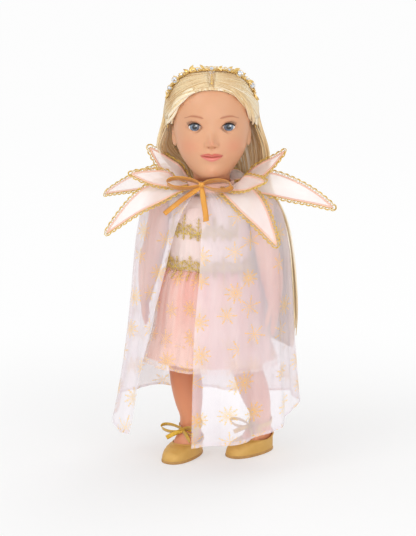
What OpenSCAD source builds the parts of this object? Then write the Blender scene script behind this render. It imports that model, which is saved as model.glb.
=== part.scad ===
// Jointed play doll in a fairy outfit, standing on the floor at z = 0 and facing -Y.
// Vinyl head and limbs sit on a stuffed cloth body. The doll wears a gathered skirt with a sheer overlay,
// an open sheer cape, a collar of twelve petals, a jewelled headband and ribbon-tied slippers.

/* [Stance] */
// Height of the hip joints above the floor
hip_h = 195; // [191:1:205]
// Distance between the centres of the two legs
leg_gap = 72; // [70:1:78]
// Turn of the head towards the doll's left, in degrees
head_turn = 20; // [0:1:30]
// Distance that the left foot stands behind its hip joint
left_step = 42; // [0:1:46]
// Turn of the left foot towards the doll's right, in degrees
left_turn = 28; // [0:1:32]
// Turn of the right foot towards the doll's right, in degrees
right_turn = 12; // [0:1:16]
// Distance that both feet stand to the doll's left of their hip joints
legs_lean = 10; // [0:1:12]

/* [Torso] */
// Width of the stuffed body at the chest
torso_w = 94; // [90:1:96]
// Depth of the stuffed body at the chest
torso_d = 80; // [76:1:82]
// Height of the underside of the belly above the hip joints
belly_rise = 24; // [23:1:27]
// Height of the waist seam above the hip joints
waist_rise = 33; // [32:1:37]
// Height of the shoulder joints above the hip joints
shoulder_rise = 102; // [98:1:108]
// Height of the neck seat above the shoulder joints
seat_rise = 13; // [12:1:15]
// Width of the hip block between the thighs
hip_block_w = 30; // [28:1:32]
// Depth of the hip block
hip_block_d = 48; // [42:1:54]
// Drop of the hip block below the hip joints
hip_block_drop = 21; // [18:1:24]

/* [Joints] */
// Radius of the stems that carry the limbs
stem_r = 6; // [5:0.5:7]
// Radius of the mushroom head of a stem
stem_head_r = 8.6; // [8:0.1:9.2]
// Thickness of the mushroom head of a stem
stem_head_t = 3; // [2:0.5:4]
// Outer radius of a joint cup
cup_r = 11; // [10.5:0.5:12]
// Depth of a shoulder cup
shoulder_cup_l = 15; // [13:1:18]
// Length of the bore of a shoulder cup
shoulder_bore_l = 9; // [7:1:9]
// Depth of a hip cup
hip_cup_l = 12; // [11:0.5:13]
// Length of the bore of a hip cup
hip_bore_l = 6; // [5:0.5:6]
// Gap between a limb and the face of its cup
limb_gap = 2; // [1.6:0.1:3]
// Radius of the neck post
neck_post_r = 9; // [8:0.5:10]
// Radius of the flange under the neck post
neck_flange_r = 17; // [14:1:18]
// Thickness of the flange, the neck ring and the washer
neck_plate_t = 3; // [2.5:0.5:3.5]
// Radius of the retaining washer
neck_washer_r = 14; // [12:1:15]

/* [Head] */
// Height of the chin above the neck seat
chin_rise = 25; // [24:1:29]
// Height from the chin to the crown
head_h = 113.5; // [108:0.5:118]
// Width of the head
head_w = 87; // [84:1:90]
// Depth of the face in front of the neck axis
head_front = 48.2; // [47:0.1:50]
// Depth of the skull behind the neck axis
head_back = 51.5; // [49:0.5:54]
// Wall of the vinyl head
head_wall = 3.2; // [2.6:0.1:3.6]
// Outer radius of the neck
neck_r = 20.5; // [19.5:0.5:21.5]
// Distance of the neck axis behind the middle of the body
neck_set_back = 2; // [0:0.5:4]
// Length of the nose in front of the face
nose_out = 7.5; // [5:0.5:9]
// Height of an ear
ear_h = 29; // [24:1:31]
// Distance that an ear stands out
ear_out = 4.5; // [3:0.5:6]
// Width of the mouth
mouth_w = 23; // [18:1:26]

/* [Eyes] */
// Radius of an eyeball
eye_r = 9.5; // [9:0.1:10]
// Distance between the middles of the eyes
eye_gap = 37.8; // [36:0.2:39]
// Width of an eye opening
eye_open_w = 15; // [13:0.5:16]
// Height of an eye opening
eye_open_h = 10; // [8:0.5:11]
// Radius of the axle through both eyes
eye_axle_r = 1.5; // [1.2:0.1:1.8]
// Width of the bracket in the nose bridge
eye_bracket_w = 6.4; // [5:0.2:7]
// Distance from the axle to the middle of the weight
eye_lever_l = 19; // [17:0.5:21]
// Radius of the weight
eye_weight_r = 4; // [3:0.5:5]

/* [Hair] */
// Thickness of the hair on the crown
hair_t = 4; // [3.6:0.1:4.6]
// Swell of the hair behind the headband
hair_swell = 5; // [3:0.5:6]
// Length of the fall of hair behind the head
hair_len = 268; // [240:1:275]
// Thickness of the fall of hair
hair_fall_t = 7; // [5:0.5:8]

/* [Headband] */
// Width of the band
band_w = 4; // [3:0.5:5]
// Thickness of the band
band_t = 1.6; // [1.2:0.1:2]
// Length of a leaf on the band
band_leaf_l = 11; // [9:0.5:12]
// Width of a leaf on the band
band_leaf_w = 5; // [4:0.5:6]
// Radius of a large stone
stone_r = 3.4; // [2.8:0.1:3.8]
// Radius of a bead of the drop
drop_bead_r = 1.1; // [0.9:0.1:1.3]

/* [Arms] */
// Length of an arm from the shoulder joint to the finger tips
arm_len = 144; // [140:1:148]
// Radius of the upper arm at the shoulder
arm_r = 14.5; // [13.5:0.1:15]
// Distance of the arm's middle outside its flat inner face
arm_set_out = 11; // [10:0.5:12]
// Distance that the hand hangs outside the shoulder
arm_reach = 20; // [17:1:21]
// Radius of a finger
finger_r = 2.4; // [2.1:0.1:2.6]

/* [Legs] */
// Height of the ankle above the floor
ankle_h = 36; // [34:1:38]
// Radius of the thigh
thigh_r = 19.5; // [18.5:0.1:20]
// Length of the foot
foot_l = 61.5; // [58:0.5:63]
// Width of the foot
foot_w = 27; // [25:0.5:28]

/* [Shoes] */
// Thickness of a sole
sole_t = 3.5; // [3:0.1:4.5]
// Thickness of the upper of a shoe
upper_t = 1; // [0.8:0.1:1.2]
// Room between the foot and the shoe at the sides
shoe_room = 2.1; // [1.6:0.1:2.5]
// Height of the throat of the shoe above the sole
throat_h = 14.5; // [14:0.5:16]
// Height of the quarters at the side of the foot above the sole
quarter_h = 13; // [12:0.5:14]
// Height of the counter at the heel above the sole
counter_h = 20; // [16:0.5:22]

/* [Dress] */
// Thickness of the bodice
bodice_t = 1; // [0.8:0.1:1.2]
// Thickness of the lace trim
lace_t = 0.8; // [0.6:0.1:1]
// Thickness of the skirt's layers
skirt_t = 0.9; // [0.7:0.1:1.1]
// Length of the skirt overlay
skirt_len = 110; // [108:1:126]
// Length that the lining is shorter than the overlay
lining_short = 5; // [3:1:10]
// Width that the skirt gains on each side from waist to hem
skirt_flare = 29; // [27:0.5:30]
// Depth of the gathers at the hem
skirt_fold = 2; // [1:0.1:2.2]
// Number of gathers
skirt_folds = 12; // [10:1:14]

/* [Cape] */
// Thickness of the cape cloth
cape_t = 0.8; // [0.6:0.1:1]
// Half width of the cape at its hem
cape_side = 101; // [99:1:104]
// Depth of the cape in front of the body at its hem
cape_front = 82; // [80:1:84]
// Depth of the cape behind the body at its hem
cape_back = 76; // [75:1:77]
// Length of the cape at the back
cape_len = 257; // [240:1:262]
// Extra spread of the hem on the doll's right
cape_flare = 16; // [0:1:18]
// Depth of the folds at the hem
cape_fold = 4; // [2:0.5:4.5]
// Number of folds round the cape
cape_folds = 11; // [9:1:12]

/* [Collar] */
// Height of the collar's lower edge above the neck seat
collar_rise = 5; // [4:0.5:6]
// Height of the collar band
collar_h = 12; // [11:0.5:13]
// Inner radius of the collar band
collar_in_r = 22.6; // [22.4:0.1:23]
// Thickness of the collar band
collar_t = 4; // [3:0.5:4]
// Thickness of a petal
petal_t = 0.8; // [0.6:0.1:1]
// Reach of the longest petals from the neck axis
petal_reach = 140; // [130:1:145]
// Width of a lower petal
lower_petal_w = 29; // [26:1:30]
// Width of an upper petal
upper_petal_w = 22; // [18:1:23]
// Turn of the side petals' faces towards the front, in degrees
petal_roll = 50; // [0:1:56]

/* [Ribbons] */
// Width of the neck ribbon
ribbon_w = 6.5; // [5:0.5:7]
// Thickness of the ribbons
ribbon_t = 0.7; // [0.5:0.1:0.9]
// Length of a loop of the neck bow
bow_loop_l = 36; // [30:1:38]
// Height of a loop of the neck bow
bow_loop_h = 13; // [10:0.5:14]
// Length of a tail of the neck bow
bow_tail_l = 47; // [40:1:50]
// Radius of the knot of the neck bow
bow_knot_r = 3.4; // [3:0.1:3.8]
// Width of the ankle ribbons
ankle_ribbon_w = 4.5; // [4:0.1:5]
// Length of a loop of the ankle bows
ankle_loop_l = 24; // [18:1:26]

/* [Fits] */
// Radial running clearance of stems, post and axle in their bores
run_fit = 0.05; // [0.02:0.01:0.1]
// Gap between soft pieces that lie on each other
lay_gap = 0.4; // [0.3:0.1:0.6]
// Gap at the end faces of moving parts
end_gap = 0.3; // [0.2:0.1:0.5]

/* [Hidden] */
$fn = 48;

// Length by which a cut runs past what it cuts
cut_over = 1;

shoulder_h = hip_h + shoulder_rise;
seat_h = shoulder_h + seat_rise;
chin_h = seat_h + chin_rise;
waist_h = hip_h + waist_rise;
belly_h = hip_h + belly_rise;
collar_z = seat_h + collar_rise;
collar_top_z = collar_z + collar_h;
collar_out_r = collar_in_r + collar_t;

// Planes of the limb joints, measured outwards from the middle
shoulder_face = torso_w/2;
arm_face = shoulder_face + limb_gap;
arm_x = arm_face + arm_set_out;
hip_face = hip_block_w/2;
leg_face = hip_face + limb_gap;
leg_x = leg_gap/2;

// Number of columns in the lofted rings
torso_n = 28;
head_n = 32;
cavity_n = 20;
leg_n = 18;
arm_n = 16;
shoe_n = 24;
skirt_n = 48;
cape_n = 45;
hair_n = 32;
fall_n = 20;

// Body: height share from belly to neck seat, width share, depth share
body_shares = [
    [0.04, 0.72, 0.78], [0.085, 0.965, 0.965], [0.23, 0.99, 1], [0.45, 1, 1],
    [0.67, 0.995, 0.965], [0.81, 0.97, 0.88], [0.92, 0.85, 0.74], [1, 0.52, 0.56]];
// Hip block: height share from crotch to belly, width share, depth share
block_shares = [[0, 0.66, 0.7], [0.1, 1, 0.95], [1, 1, 1]];

// Head: height share from chin to crown, width share, front share, back share
head_shares = [
    [-0.005, 0.478, 0.685, 0.43], [0.018, 0.494, 0.83, 0.447], [0.053, 0.57, 0.913, 0.476],
    [0.106, 0.67, 0.965, 0.524], [0.159, 0.76, 0.985, 0.592], [0.212, 0.835, 0.996, 0.67],
    [0.273, 0.9, 1, 0.757], [0.344, 0.945, 1, 0.845], [0.423, 0.974, 0.996, 0.913],
    [0.511, 0.993, 0.981, 0.971], [0.6, 1, 0.988, 1], [0.688, 0.993, 0.98, 1],
    [0.775, 0.954, 0.93, 0.961], [0.855, 0.874, 0.84, 0.883], [0.916, 0.759, 0.716, 0.757],
    [0.96, 0.61, 0.56, 0.602], [0.987, 0.414, 0.373, 0.408], [1, 0.184, 0.166, 0.175]];
// Nose: height share, share of the nose length
nose_shares = [[0.31, 0], [0.335, 0.7], [0.37, 1], [0.43, 0.6], [0.5, 0.25], [0.58, 0]];
// Heights of the bridge, the tip and the wings of the nose
nose_bridge_shares = [0.58, 0.5, 0.43];
nose_tip_share = 0.37;
nose_wing_share = 0.345;
// Width of the nose at its wings, as a share of the head's half width
nose_w_share = 0.12;
// Height shares of the upper lip, the corners of the lower lip and its middle above the mouth line
lip_shares = [0.022, -0.01, -0.025];
// Heights on the face, as shares from chin to crown
mouth_share = 0.222;
eye_share = 0.508;
ear_share = 0.36;
// Hairline: angle from the front, height share
hairline_shares = [
    [0, 0.865], [20, 0.85], [40, 0.79], [55, 0.705], [68, 0.6], [78, 0.535], [180, 0.515]];

// Fall of hair: drop share, right edge angle, left edge angle, side share, back share, thickness share,
// with the angles measured from the back and the reaches as shares of the cape's
fall_shares = [
    [0, -95, 55, 0.475, 0.7, 0.6], [0.06, -94, 56, 0.545, 0.705, 0.75], [0.12, -90, 56, 0.605, 0.71, 0.9],
    [0.17, -74, 55, 0.634, 0.723, 1], [0.205, -60, 52, 0.645, 0.737, 1], [0.265, -52, 49, 0.663, 0.776, 1],
    [0.33, -46, 51, 0.733, 0.822, 1], [0.385, -42, 56, 0.84, 0.85, 1], [0.45, -39, 60, 0.91, 0.86, 1],
    [0.54, -36, 63, 0.955, 0.87, 1], [0.64, -33, 64, 0.975, 0.9, 1], [0.76, -28, 64, 0.99, 0.955, 1],
    [0.89, -20, 62, 1.005, 1.02, 0.9], [1, -8, 58, 1.025, 1.06, 0.6]];

// Leg: height share from ankle to hip, width share, depth share, set-back share of the thigh radius
leg_shares = [
    [0, 0.63, 0.63, 0.1], [0.075, 0.64, 0.68, 0.12], [0.16, 0.79, 0.85, 0.14], [0.28, 0.92, 0.97, 0.15],
    [0.39, 0.92, 0.95, 0.08], [0.49, 0.91, 0.92, 0.02], [0.566, 0.91, 0.92, 0], [0.686, 0.94, 0.95, 0],
    [0.843, 0.98, 0.99, 0], [1, 1, 1, 0]];
// Heel: angle of the section about the instep, near share, far share, width share
heel_shares = [
    [90, 0.16, 0.9, 0.45], [62, 0.11, 1.015, 0.42], [45, 0.1, 1.115, 0.385], [28, 0.08, 0.94, 0.4]];
// Forefoot: share of the foot length behind the toe tip, top and bottom shares of the ankle height,
// width share
forefoot_shares = [
    [0, 0.22, 0.18, 0.11], [0.055, 0.27, 0.15, 0.28], [0.15, 0.34, 0.11, 0.43], [0.28, 0.38, 0.107, 0.46],
    [0.41, 0.51, 0.107, 0.46]];
// Middle of the instep hinge line behind the toe tip, as a share of the foot length
instep_share = 0.53;
// Distance of the toe tip in front of the leg's middle, as a share of the foot length
toe_share = 0.74;

// Arm: drop share, outward share of the reach, width share, depth share of the arm radius
arm_shares = [
    [0.816, 0.96, 0.36, 0.7], [0.763, 0.92, 0.43, 0.73], [0.68, 0.87, 0.63, 0.68],
    [0.59, 0.79, 0.8, 0.84], [0.49, 0.67, 0.92, 0.96], [0.394, 0.52, 0.94, 0.98],
    [0.285, 0.33, 0.95, 0.98], [0.15, 0.12, 0.99, 1], [0.06, 0.02, 1, 1], [0, 0, 1, 1]];
// Fingers: place across the palm, drop share of the tip
finger_shares = [[-0.52, 0.96], [-0.17, 1], [0.17, 0.985], [0.5, 0.93]];

// Skirt: drop share, flare share
skirt_shares = [[0, 0], [0.06, 0.2], [0.14, 0.33], [0.3, 0.45], [0.62, 0.6], [0.8, 0.77], [1, 1]];

// Cape: side reach, side drop, front reach, front drop, back reach, back drop,
// with reaches as shares of the hem's and drops as shares of the length
cape_shares = [
    [0, 0, 0, 0, 0, 0], [0.268, 0.004, 0.13, 0.018, 0.176, 0.014], [0.526, 0.016, 0.242, 0.055, 0.34, 0.05],
    [0.69, 0.054, 0.33, 0.113, 0.443, 0.109], [0.785, 0.121, 0.39, 0.19, 0.505, 0.19],
    [0.85, 0.222, 0.44, 0.277, 0.55, 0.277], [0.885, 0.346, 0.515, 0.358, 0.61, 0.362],
    [0.905, 0.486, 0.67, 0.471, 0.755, 0.471], [0.926, 0.63, 0.83, 0.619, 0.875, 0.619],
    [0.96, 0.805, 0.93, 0.825, 0.95, 0.813], [1, 1, 1, 1, 1, 1]];
// Front edge of the right panel: angle from the front at each row
cape_edge_angles = [8, 10, 13, 16, 19, 22, 24, 27, 32, 40, 50];
// Front edge of the left panel: angle from the front at each row
cape_left_angles = [7, 7, 6, 5, 4, 4, 4, 4, 4, 4, 4];
// Hem: angle from the front towards the doll's right, share of the length
cape_hem_shares = [
    [56, 1.11], [72, 1.06], [95, 1.005], [180, 1], [262, 0.955], [290, 1.02], [320, 1.07], [356, 1.1]];

// Petals: angle from the front, upper layer or not, reach shares of the bend and of the tip,
// rises of the bend and of the tip above the base as shares of the collar height
petal_shares = [
    [-60, 1, 0.4, 0.65, 0, 1], [60, 1, 0.4, 0.65, 0, 1],
    [-96, 1, 0.36, 0.56, 0, 2.9], [96, 1, 0.38, 0.605, 0, 3.2],
    [-150, 1, 0.33, 0.4, 0.75, -0.2], [150, 1, 0.33, 0.4, 0.75, -0.2],
    [-56, 0, 0.5, 0.865, 0, -4], [56, 0, 0.5, 0.865, 0, -4],
    [-98, 0, 0.52, 1, 0.6, -1.6], [98, 0, 0.52, 1, 0.6, -1.6],
    [-145, 0, 0.32, 0.42, 0.85, -1.7], [145, 0, 0.32, 0.42, 0.85, -1.7]];
// Height of the upper and the lower layer's base, as shares of the collar height
upper_base_share = 0.75;
lower_base_share = 0.36;
// Rise of a turned petal's middle, as a share of its half width
petal_lift_share = 0.6;

// Headband: places of the stones along the band from right to left, and their size shares
stone_shares = [
    [0.2, 0.8], [0.27, 1], [0.33, 0.6], [0.44, 0.6], [0.5, 0.7], [0.58, 0.6], [0.655, 1], [0.72, 0.65],
    [0.78, 0.9]];
// Places of the leaves along the band, each with its lean
band_leaf_shares = [
    [0.12, 1], [0.165, -1], [0.235, 1], [0.3, -1], [0.385, 1], [0.545, -1], [0.615, 1], [0.69, -1],
    [0.75, 1], [0.83, -1], [0.875, 1]];

// Shape helpers

function mix(a, b, t) = a + (b - a)*t;
function ease(t) = let (c = min(1, max(0, t))) c*c*(3 - 2*c);
function column(table, j) = [for (row = table) [row[0], row[j]]];
function unit(v) = v/norm(v);

// Closed ring of n points round a centre, from the front towards +X, with its own front and back depth
function ring(n, centre, side, front, back) = [
    for (i = [0:n - 1])
        let (a = 360*i/n)
            centre + [side*sin(a), -(cos(a) > 0 ? front : back)*cos(a), 0]];

// Faces of a grid of rows and columns, two triangles a cell
function grid_faces(rows, cols, first, turned, closed) = [
    for (i = [0:rows - 2], j = [0:closed ? cols - 1 : cols - 2])
        let (a = first + i*cols + j, d = first + i*cols + (j + 1)%cols, b = a + cols, c = d + cols)
            each turned ? [[a, d, c], [a, c, b]] : [[a, b, c], [a, c, d]]];

// Solid through a stack of rings
module loft(rings) {
    n = len(rings[0]);
    last = (len(rings) - 1)*n;
    polyhedron(
        points = [for (r = rings) each r],
        faces = concat(
            grid_faces(len(rings), n, 0, false, true),
            [[for (j = [0:n - 1]) j]],
            [[for (j = [n - 1:-1:0]) last + j]]));
}

// Solid between an outer and an inner grid, closed round its columns or open, with or without a crown
module shell(outer, inner, closed = false, crowned = false) {
    rows = len(outer);
    cols = len(outer[0]);
    half = rows*cols;
    wrap = closed ? cols - 1 : cols - 2;
    top = (rows - 1)*cols;
    rim_low = [
        for (j = [0:wrap])
            let (a = j, d = (j + 1)%cols)
                each [[a, d, half + d], [a, half + d, half + a]]];
    rim_high = [
        for (j = [0:wrap])
            let (b = top + j, c = top + (j + 1)%cols)
                each [[c, b, half + b], [c, half + b, half + c]]];
    crown = [
        [for (j = [cols - 1:-1:0]) top + j],
        [for (j = [0:cols - 1]) half + top + j]];
    side_first = [
        for (i = [0:rows - 2])
            let (a = i*cols, b = a + cols)
                each [[b, a, half + a], [b, half + a, half + b]]];
    side_last = [
        for (i = [0:rows - 2])
            let (d = i*cols + cols - 1, c = d + cols)
                each [[d, c, half + c], [d, half + c, half + d]]];
    polyhedron(
        points = concat([for (r = outer) each r], [for (r = inner) each r]),
        faces = concat(
            grid_faces(rows, cols, 0, false, closed),
            grid_faces(rows, cols, half, true, closed),
            rim_low,
            crowned ? crown : rim_high,
            closed ? [] : concat(side_first, side_last)));
}

// Grid moved along its own normals
function moved(grid, out, closed) =
    let (rows = len(grid), cols = len(grid[0]))
        [for (i = [0:rows - 1]) [
            for (j = [0:cols - 1])
                let (
                    up = grid[min(i + 1, rows - 1)][j] - grid[max(i - 1, 0)][j],
                    next = closed ? grid[i][(j + 1)%cols] : grid[i][min(j + 1, cols - 1)],
                    prev = closed ? grid[i][(j + cols - 1)%cols] : grid[i][max(j - 1, 0)])
                    grid[i][j] + out*unit(cross(next - prev, up))]];

// Cloth of a given thickness behind a grid
module cloth(grid, thickness, closed = false) {
    shell(grid, moved(grid, -thickness, closed), closed);
}

// Strip of ribbon along a path, lying across a direction
module strip(path, across, width, thickness) {
    cloth([for (p = path) [p - across*width/2, p + across*width/2]], thickness);
}

// Pieces of the right side are the left side's, mirrored
module to_side(side) {
    mirror([side == "right" ? 1 : 0, 0, 0])
        children();
}

// Frame of the turned head, with the neck axis at its origin
module head_frame() {
    translate([0, neck_set_back, 0])
        rotate([0, 0, head_turn])
            children();
}

// Torso and joints

function body_z(share) = mix(belly_h, seat_h, share);
function body_side(z) = torso_w/2*lookup((z - belly_h)/(seat_h - belly_h), column(body_shares, 1));
function body_depth(z) = torso_d/2*lookup((z - belly_h)/(seat_h - belly_h), column(body_shares, 2));

module limb_axis(height, reach) {
    translate([reach, 0, height])
        rotate([0, 90, 0])
            children();
}

module cloth_torso() {
    crotch_h = hip_h - hip_block_drop;
    block = [
        for (s = block_shares)
            let (depth = hip_block_d/2*s[2])
                ring(torso_n, [0, 0, mix(crotch_h, belly_h, s[0])], hip_face*s[1], depth, depth)];
    body = [
        for (s = body_shares)
            ring(torso_n, [0, 0, body_z(s[0])], torso_w/2*s[1], torso_d/2*s[2], torso_d/2*s[2])];
    color("linen")
        difference() {
            loft(concat(block, body));
            for (side = ["right", "left"])
                to_side(side) {
                    limb_axis(shoulder_h, shoulder_face - shoulder_cup_l)
                        cylinder(r = cup_r, h = shoulder_cup_l + cut_over);
                    limb_axis(hip_h, hip_face - hip_cup_l)
                        cylinder(r = cup_r, h = hip_cup_l + cut_over);
                }
        }
}

// Cup with a bore for the stem and a recess for its mushroom head, open face at z = 0
module joint_cup(depth, bore_l) {
    bore_r = stem_r + run_fit;
    recess_r = stem_head_r + lay_gap;
    color("ivory")
        rotate_extrude()
            polygon([
                [bore_r, 0], [cup_r, 0], [cup_r, -depth], [recess_r, -depth], [recess_r, -bore_l],
                [bore_r, -bore_l]]);
}

// Stem from the limb's flat face at z = 0 into the cup
module joint_stem(bore_l) {
    shaft_l = limb_gap + bore_l + end_gap;
    color("ivory")
        rotate_extrude()
            polygon([
                [0, 0], [stem_r, 0], [stem_r, -shaft_l], [stem_head_r, -shaft_l],
                [stem_head_r, -shaft_l - stem_head_t], [0, -shaft_l - stem_head_t]]);
}

module shoulder_cup(side) {
    to_side(side)
        limb_axis(shoulder_h, shoulder_face)
            joint_cup(shoulder_cup_l, shoulder_bore_l);
}

module hip_cup(side) {
    to_side(side)
        limb_axis(hip_h, hip_face)
            joint_cup(hip_cup_l, hip_bore_l);
}

module arm_stem(side) {
    to_side(side)
        limb_axis(shoulder_h, arm_face)
            joint_stem(shoulder_bore_l);
}

module leg_stem(side) {
    to_side(side)
        limb_axis(hip_h, leg_face)
            joint_stem(hip_bore_l);
}

// Heights of the neck joint, from the seat upwards
neck_ring_z = seat_h + neck_plate_t + end_gap;
neck_washer_z = neck_ring_z + neck_plate_t + end_gap;
neck_post_top_z = neck_washer_z + neck_plate_t;

module neck_post() {
    post_top = neck_post_top_z - seat_h;
    color("ivory")
        translate([0, neck_set_back, seat_h])
            rotate_extrude()
                polygon([
                    [0, 0], [neck_flange_r, 0], [neck_flange_r, neck_plate_t], [neck_post_r, neck_plate_t],
                    [neck_post_r, post_top], [0, post_top]]);
}

module neck_washer() {
    color("silver")
        translate([0, neck_set_back, neck_washer_z])
            difference() {
                cylinder(r = neck_washer_r, h = neck_plate_t);
                translate([0, 0, -cut_over])
                    cylinder(r = neck_post_r, h = neck_plate_t + 2*cut_over);
            }
}

module neck_ring() {
    color("bisque")
        translate([0, neck_set_back, neck_ring_z])
            difference() {
                cylinder(r = neck_r - head_wall - lay_gap, h = neck_plate_t);
                translate([0, 0, -cut_over])
                    cylinder(r = neck_post_r + run_fit, h = neck_plate_t + 2*cut_over);
            }
}

// Head

function head_z(share) = chin_h + head_h*share;
function head_side(share) = head_w/2*lookup(share, column(head_shares, 1));
function head_fore(share) = head_front*lookup(share, column(head_shares, 2));
function head_aft(share) = head_back*lookup(share, column(head_shares, 3));

// Rings of the neck and head, drawn in by an inset and started lower by a drop
function head_rings(n, inset, drop) = concat(
    [for (z = [neck_ring_z - drop, chin_h - chin_rise/3])
        ring(n, [0, 0, z], neck_r - inset, neck_r - inset, neck_r - inset)],
    [for (s = head_shares)
        let (
            side = max(head_w/2*s[1] - inset, inset),
            front = max(head_front*s[2] - inset, inset),
            back = max(head_back*s[3] - inset, inset))
            ring(n, [0, 0, head_z(s[0]) - inset*ease(s[0])], side, front, back)]);

// Place of the point on the face at a sideways distance and height share, moved out by a distance
function face_at(x, share, out) =
    [x, -(head_fore(share) + out)*sqrt(1 - pow(x/(head_side(share) + out), 2)), head_z(share)];

eye_z = head_z(eye_share);
eye_y = face_at(eye_gap/2, eye_share, 0)[1] + eye_r + lay_gap*3;

module bead_chain(points, r) {
    for (i = [0:len(points) - 2])
        hull()
            for (p = [points[i], points[i + 1]])
                translate(p)
                    sphere(r = r, $fn = 8);
}

// Nose as a ridge that swells from the brow to its tip and wings
module nose() {
    bridge = [for (s = nose_bridge_shares) face_at(0, s, nose_out*lookup(s, nose_shares) - nose_out/2)];
    tip = face_at(0, nose_tip_share, nose_out/3);
    wing_x = head_w/2*nose_w_share;
    bead_chain(concat(bridge, [tip]), nose_out/2);
    for (x = [-wing_x, wing_x])
        bead_chain([tip, face_at(x, nose_wing_share, 0)], nose_out*0.42);
}

// Lips as two rounded rolls
module lips() {
    corner = mouth_w/2;
    roll_r = mouth_w*0.1;
    for (side = [-1, 1]) {
        bead_chain([
            face_at(side*corner, mouth_share, -roll_r),
            face_at(side*corner*0.3, mouth_share + lip_shares[0], -roll_r*0.4)], roll_r);
        bead_chain([
            face_at(side*corner*0.8, mouth_share + lip_shares[1], -roll_r),
            face_at(0, mouth_share + lip_shares[2], -roll_r*0.4)], roll_r);
    }
}

// Ears as rounded leaves with a hollow
module ears() {
    ear_x = head_side(ear_share) - ear_out*0.2;
    rim_r = ear_out*0.75;
    for (side = [-1, 1])
        hull() {
            translate([side*ear_x, rim_r, head_z(ear_share) - ear_h/2 + rim_r])
                sphere(r = rim_r, $fn = 10);
            translate([side*(ear_x + ear_out*0.4), rim_r*2, head_z(ear_share) + ear_h/2 - rim_r])
                sphere(r = rim_r, $fn = 10);
            translate([side*ear_x, -rim_r*0.2, head_z(ear_share) + ear_h/4])
                sphere(r = rim_r, $fn = 10);
        }
}

// Almond opening in front of an eye
module eye_opening() {
    arc_r = (eye_open_w*eye_open_w + eye_open_h*eye_open_h)/(4*eye_open_h);
    arc_off = arc_r - eye_open_h/2;
    rotate([90, 0, 0])
        linear_extrude(height = eye_r*2)
            intersection() {
                translate([0, arc_off])
                    circle(r = arc_r, $fn = 24);
                translate([0, -arc_off])
                    circle(r = arc_r, $fn = 24);
            }
}

module head_shell() {
    color("burlywood")
        head_frame()
            difference() {
                union() {
                    loft(head_rings(head_n, 0, 0));
                    nose();
                    lips();
                    ears();
                }
                loft(head_rings(cavity_n, head_wall, cut_over));
                for (x = [-eye_gap/2, eye_gap/2])
                    translate([x, eye_y, eye_z]) {
                        sphere(r = eye_r + lay_gap, $fn = 20);
                        eye_opening();
                    }
            }
}

// Sleep eyes

module eye(side) {
    bore_end = eye_gap/2 + eye_r/2;
    color("lightsteelblue")
        head_frame()
            to_side(side)
                difference() {
                    translate([eye_gap/2, eye_y, eye_z])
                        sphere(r = eye_r);
                    translate([0, eye_y, eye_z])
                        rotate([0, 90, 0])
                            cylinder(r = eye_axle_r, h = bore_end);
                }
}

module eye_axle() {
    axle_l = eye_gap + eye_r;
    color("silver")
        head_frame()
            translate([-axle_l/2, eye_y, eye_z])
                rotate([0, 90, 0])
                    cylinder(r = eye_axle_r, h = axle_l);
}

// Block in the nose bridge that carries the axle
module eye_bracket() {
    front_y = -head_fore(eye_share) + head_wall + 2*lay_gap;
    block_h = eye_axle_r*8;
    back_y = eye_y + eye_axle_r*3;
    color("ivory")
        head_frame()
            difference() {
                translate([-eye_bracket_w/2, front_y, eye_z - block_h/2])
                    cube([eye_bracket_w, back_y - front_y, block_h]);
                translate([-eye_bracket_w, eye_y, eye_z])
                    rotate([0, 90, 0])
                        cylinder(r = eye_axle_r + run_fit, h = eye_bracket_w*2);
            }
}

// Lever behind the axle with the weight that keeps the eyes open while the doll stands
module eye_weight() {
    lever_t = (eye_gap/2 - eye_r - eye_bracket_w/2)/2;
    lever_x = eye_bracket_w/2 + end_gap;
    hub_r = eye_axle_r*2.2;
    lean = 55;
    weight_y = eye_lever_l*cos(lean);
    weight_z = -eye_lever_l*sin(lean);
    color("dimgray")
        head_frame()
            translate([lever_x, eye_y, eye_z])
                rotate([90, 0, 90])
                    linear_extrude(height = lever_t)
                        difference() {
                            hull() {
                                circle(r = hub_r);
                                translate([weight_y, weight_z])
                                    circle(r = eye_weight_r);
                            }
                            circle(r = eye_axle_r);
                        }
}

// Hair

// Swell of the hair behind the headband at an angle from the front and a height share
function hair_swell_at(a, share) =
    hair_swell*ease(((a > 180 ? 360 - a : a) - 92)/30)*(1 - ease((share - 0.5)/0.5));

// Point of the hair at an angle from the front and a height share, standing off the head
function hair_at(a, share, off) =
    let (front = cos(a) > 0 ? head_fore(share) : head_aft(share))
        [(head_side(share) + off)*sin(a), -(front + off)*cos(a),
         head_z(share) + off*ease((share - 0.6)/0.4)];

function hairline(a) = lookup(a > 180 ? 360 - a : a, hairline_shares);

module hair_cap() {
    rows = 7;
    grid = function (off, swell) [
        for (i = [0:rows])
            [for (j = [0:hair_n - 1])
                let (a = 360*j/hair_n, share = mix(hairline(a), 1, 1 - pow(1 - i/rows, 1.5)))
                    hair_at(a, share, off + swell*hair_swell_at(a, share))]];
    color("wheat")
        head_frame()
            shell(grid(hair_t, 1), grid(2*lay_gap, 0), true, true);
}

// Reach of an oval at an angle from the back
function oval_reach(angle, side, back) = 1/sqrt(pow(sin(angle)/side, 2) + pow(cos(angle)/back, 2));

hair_top_z = head_z(hairline(180)) - lay_gap;

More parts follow.
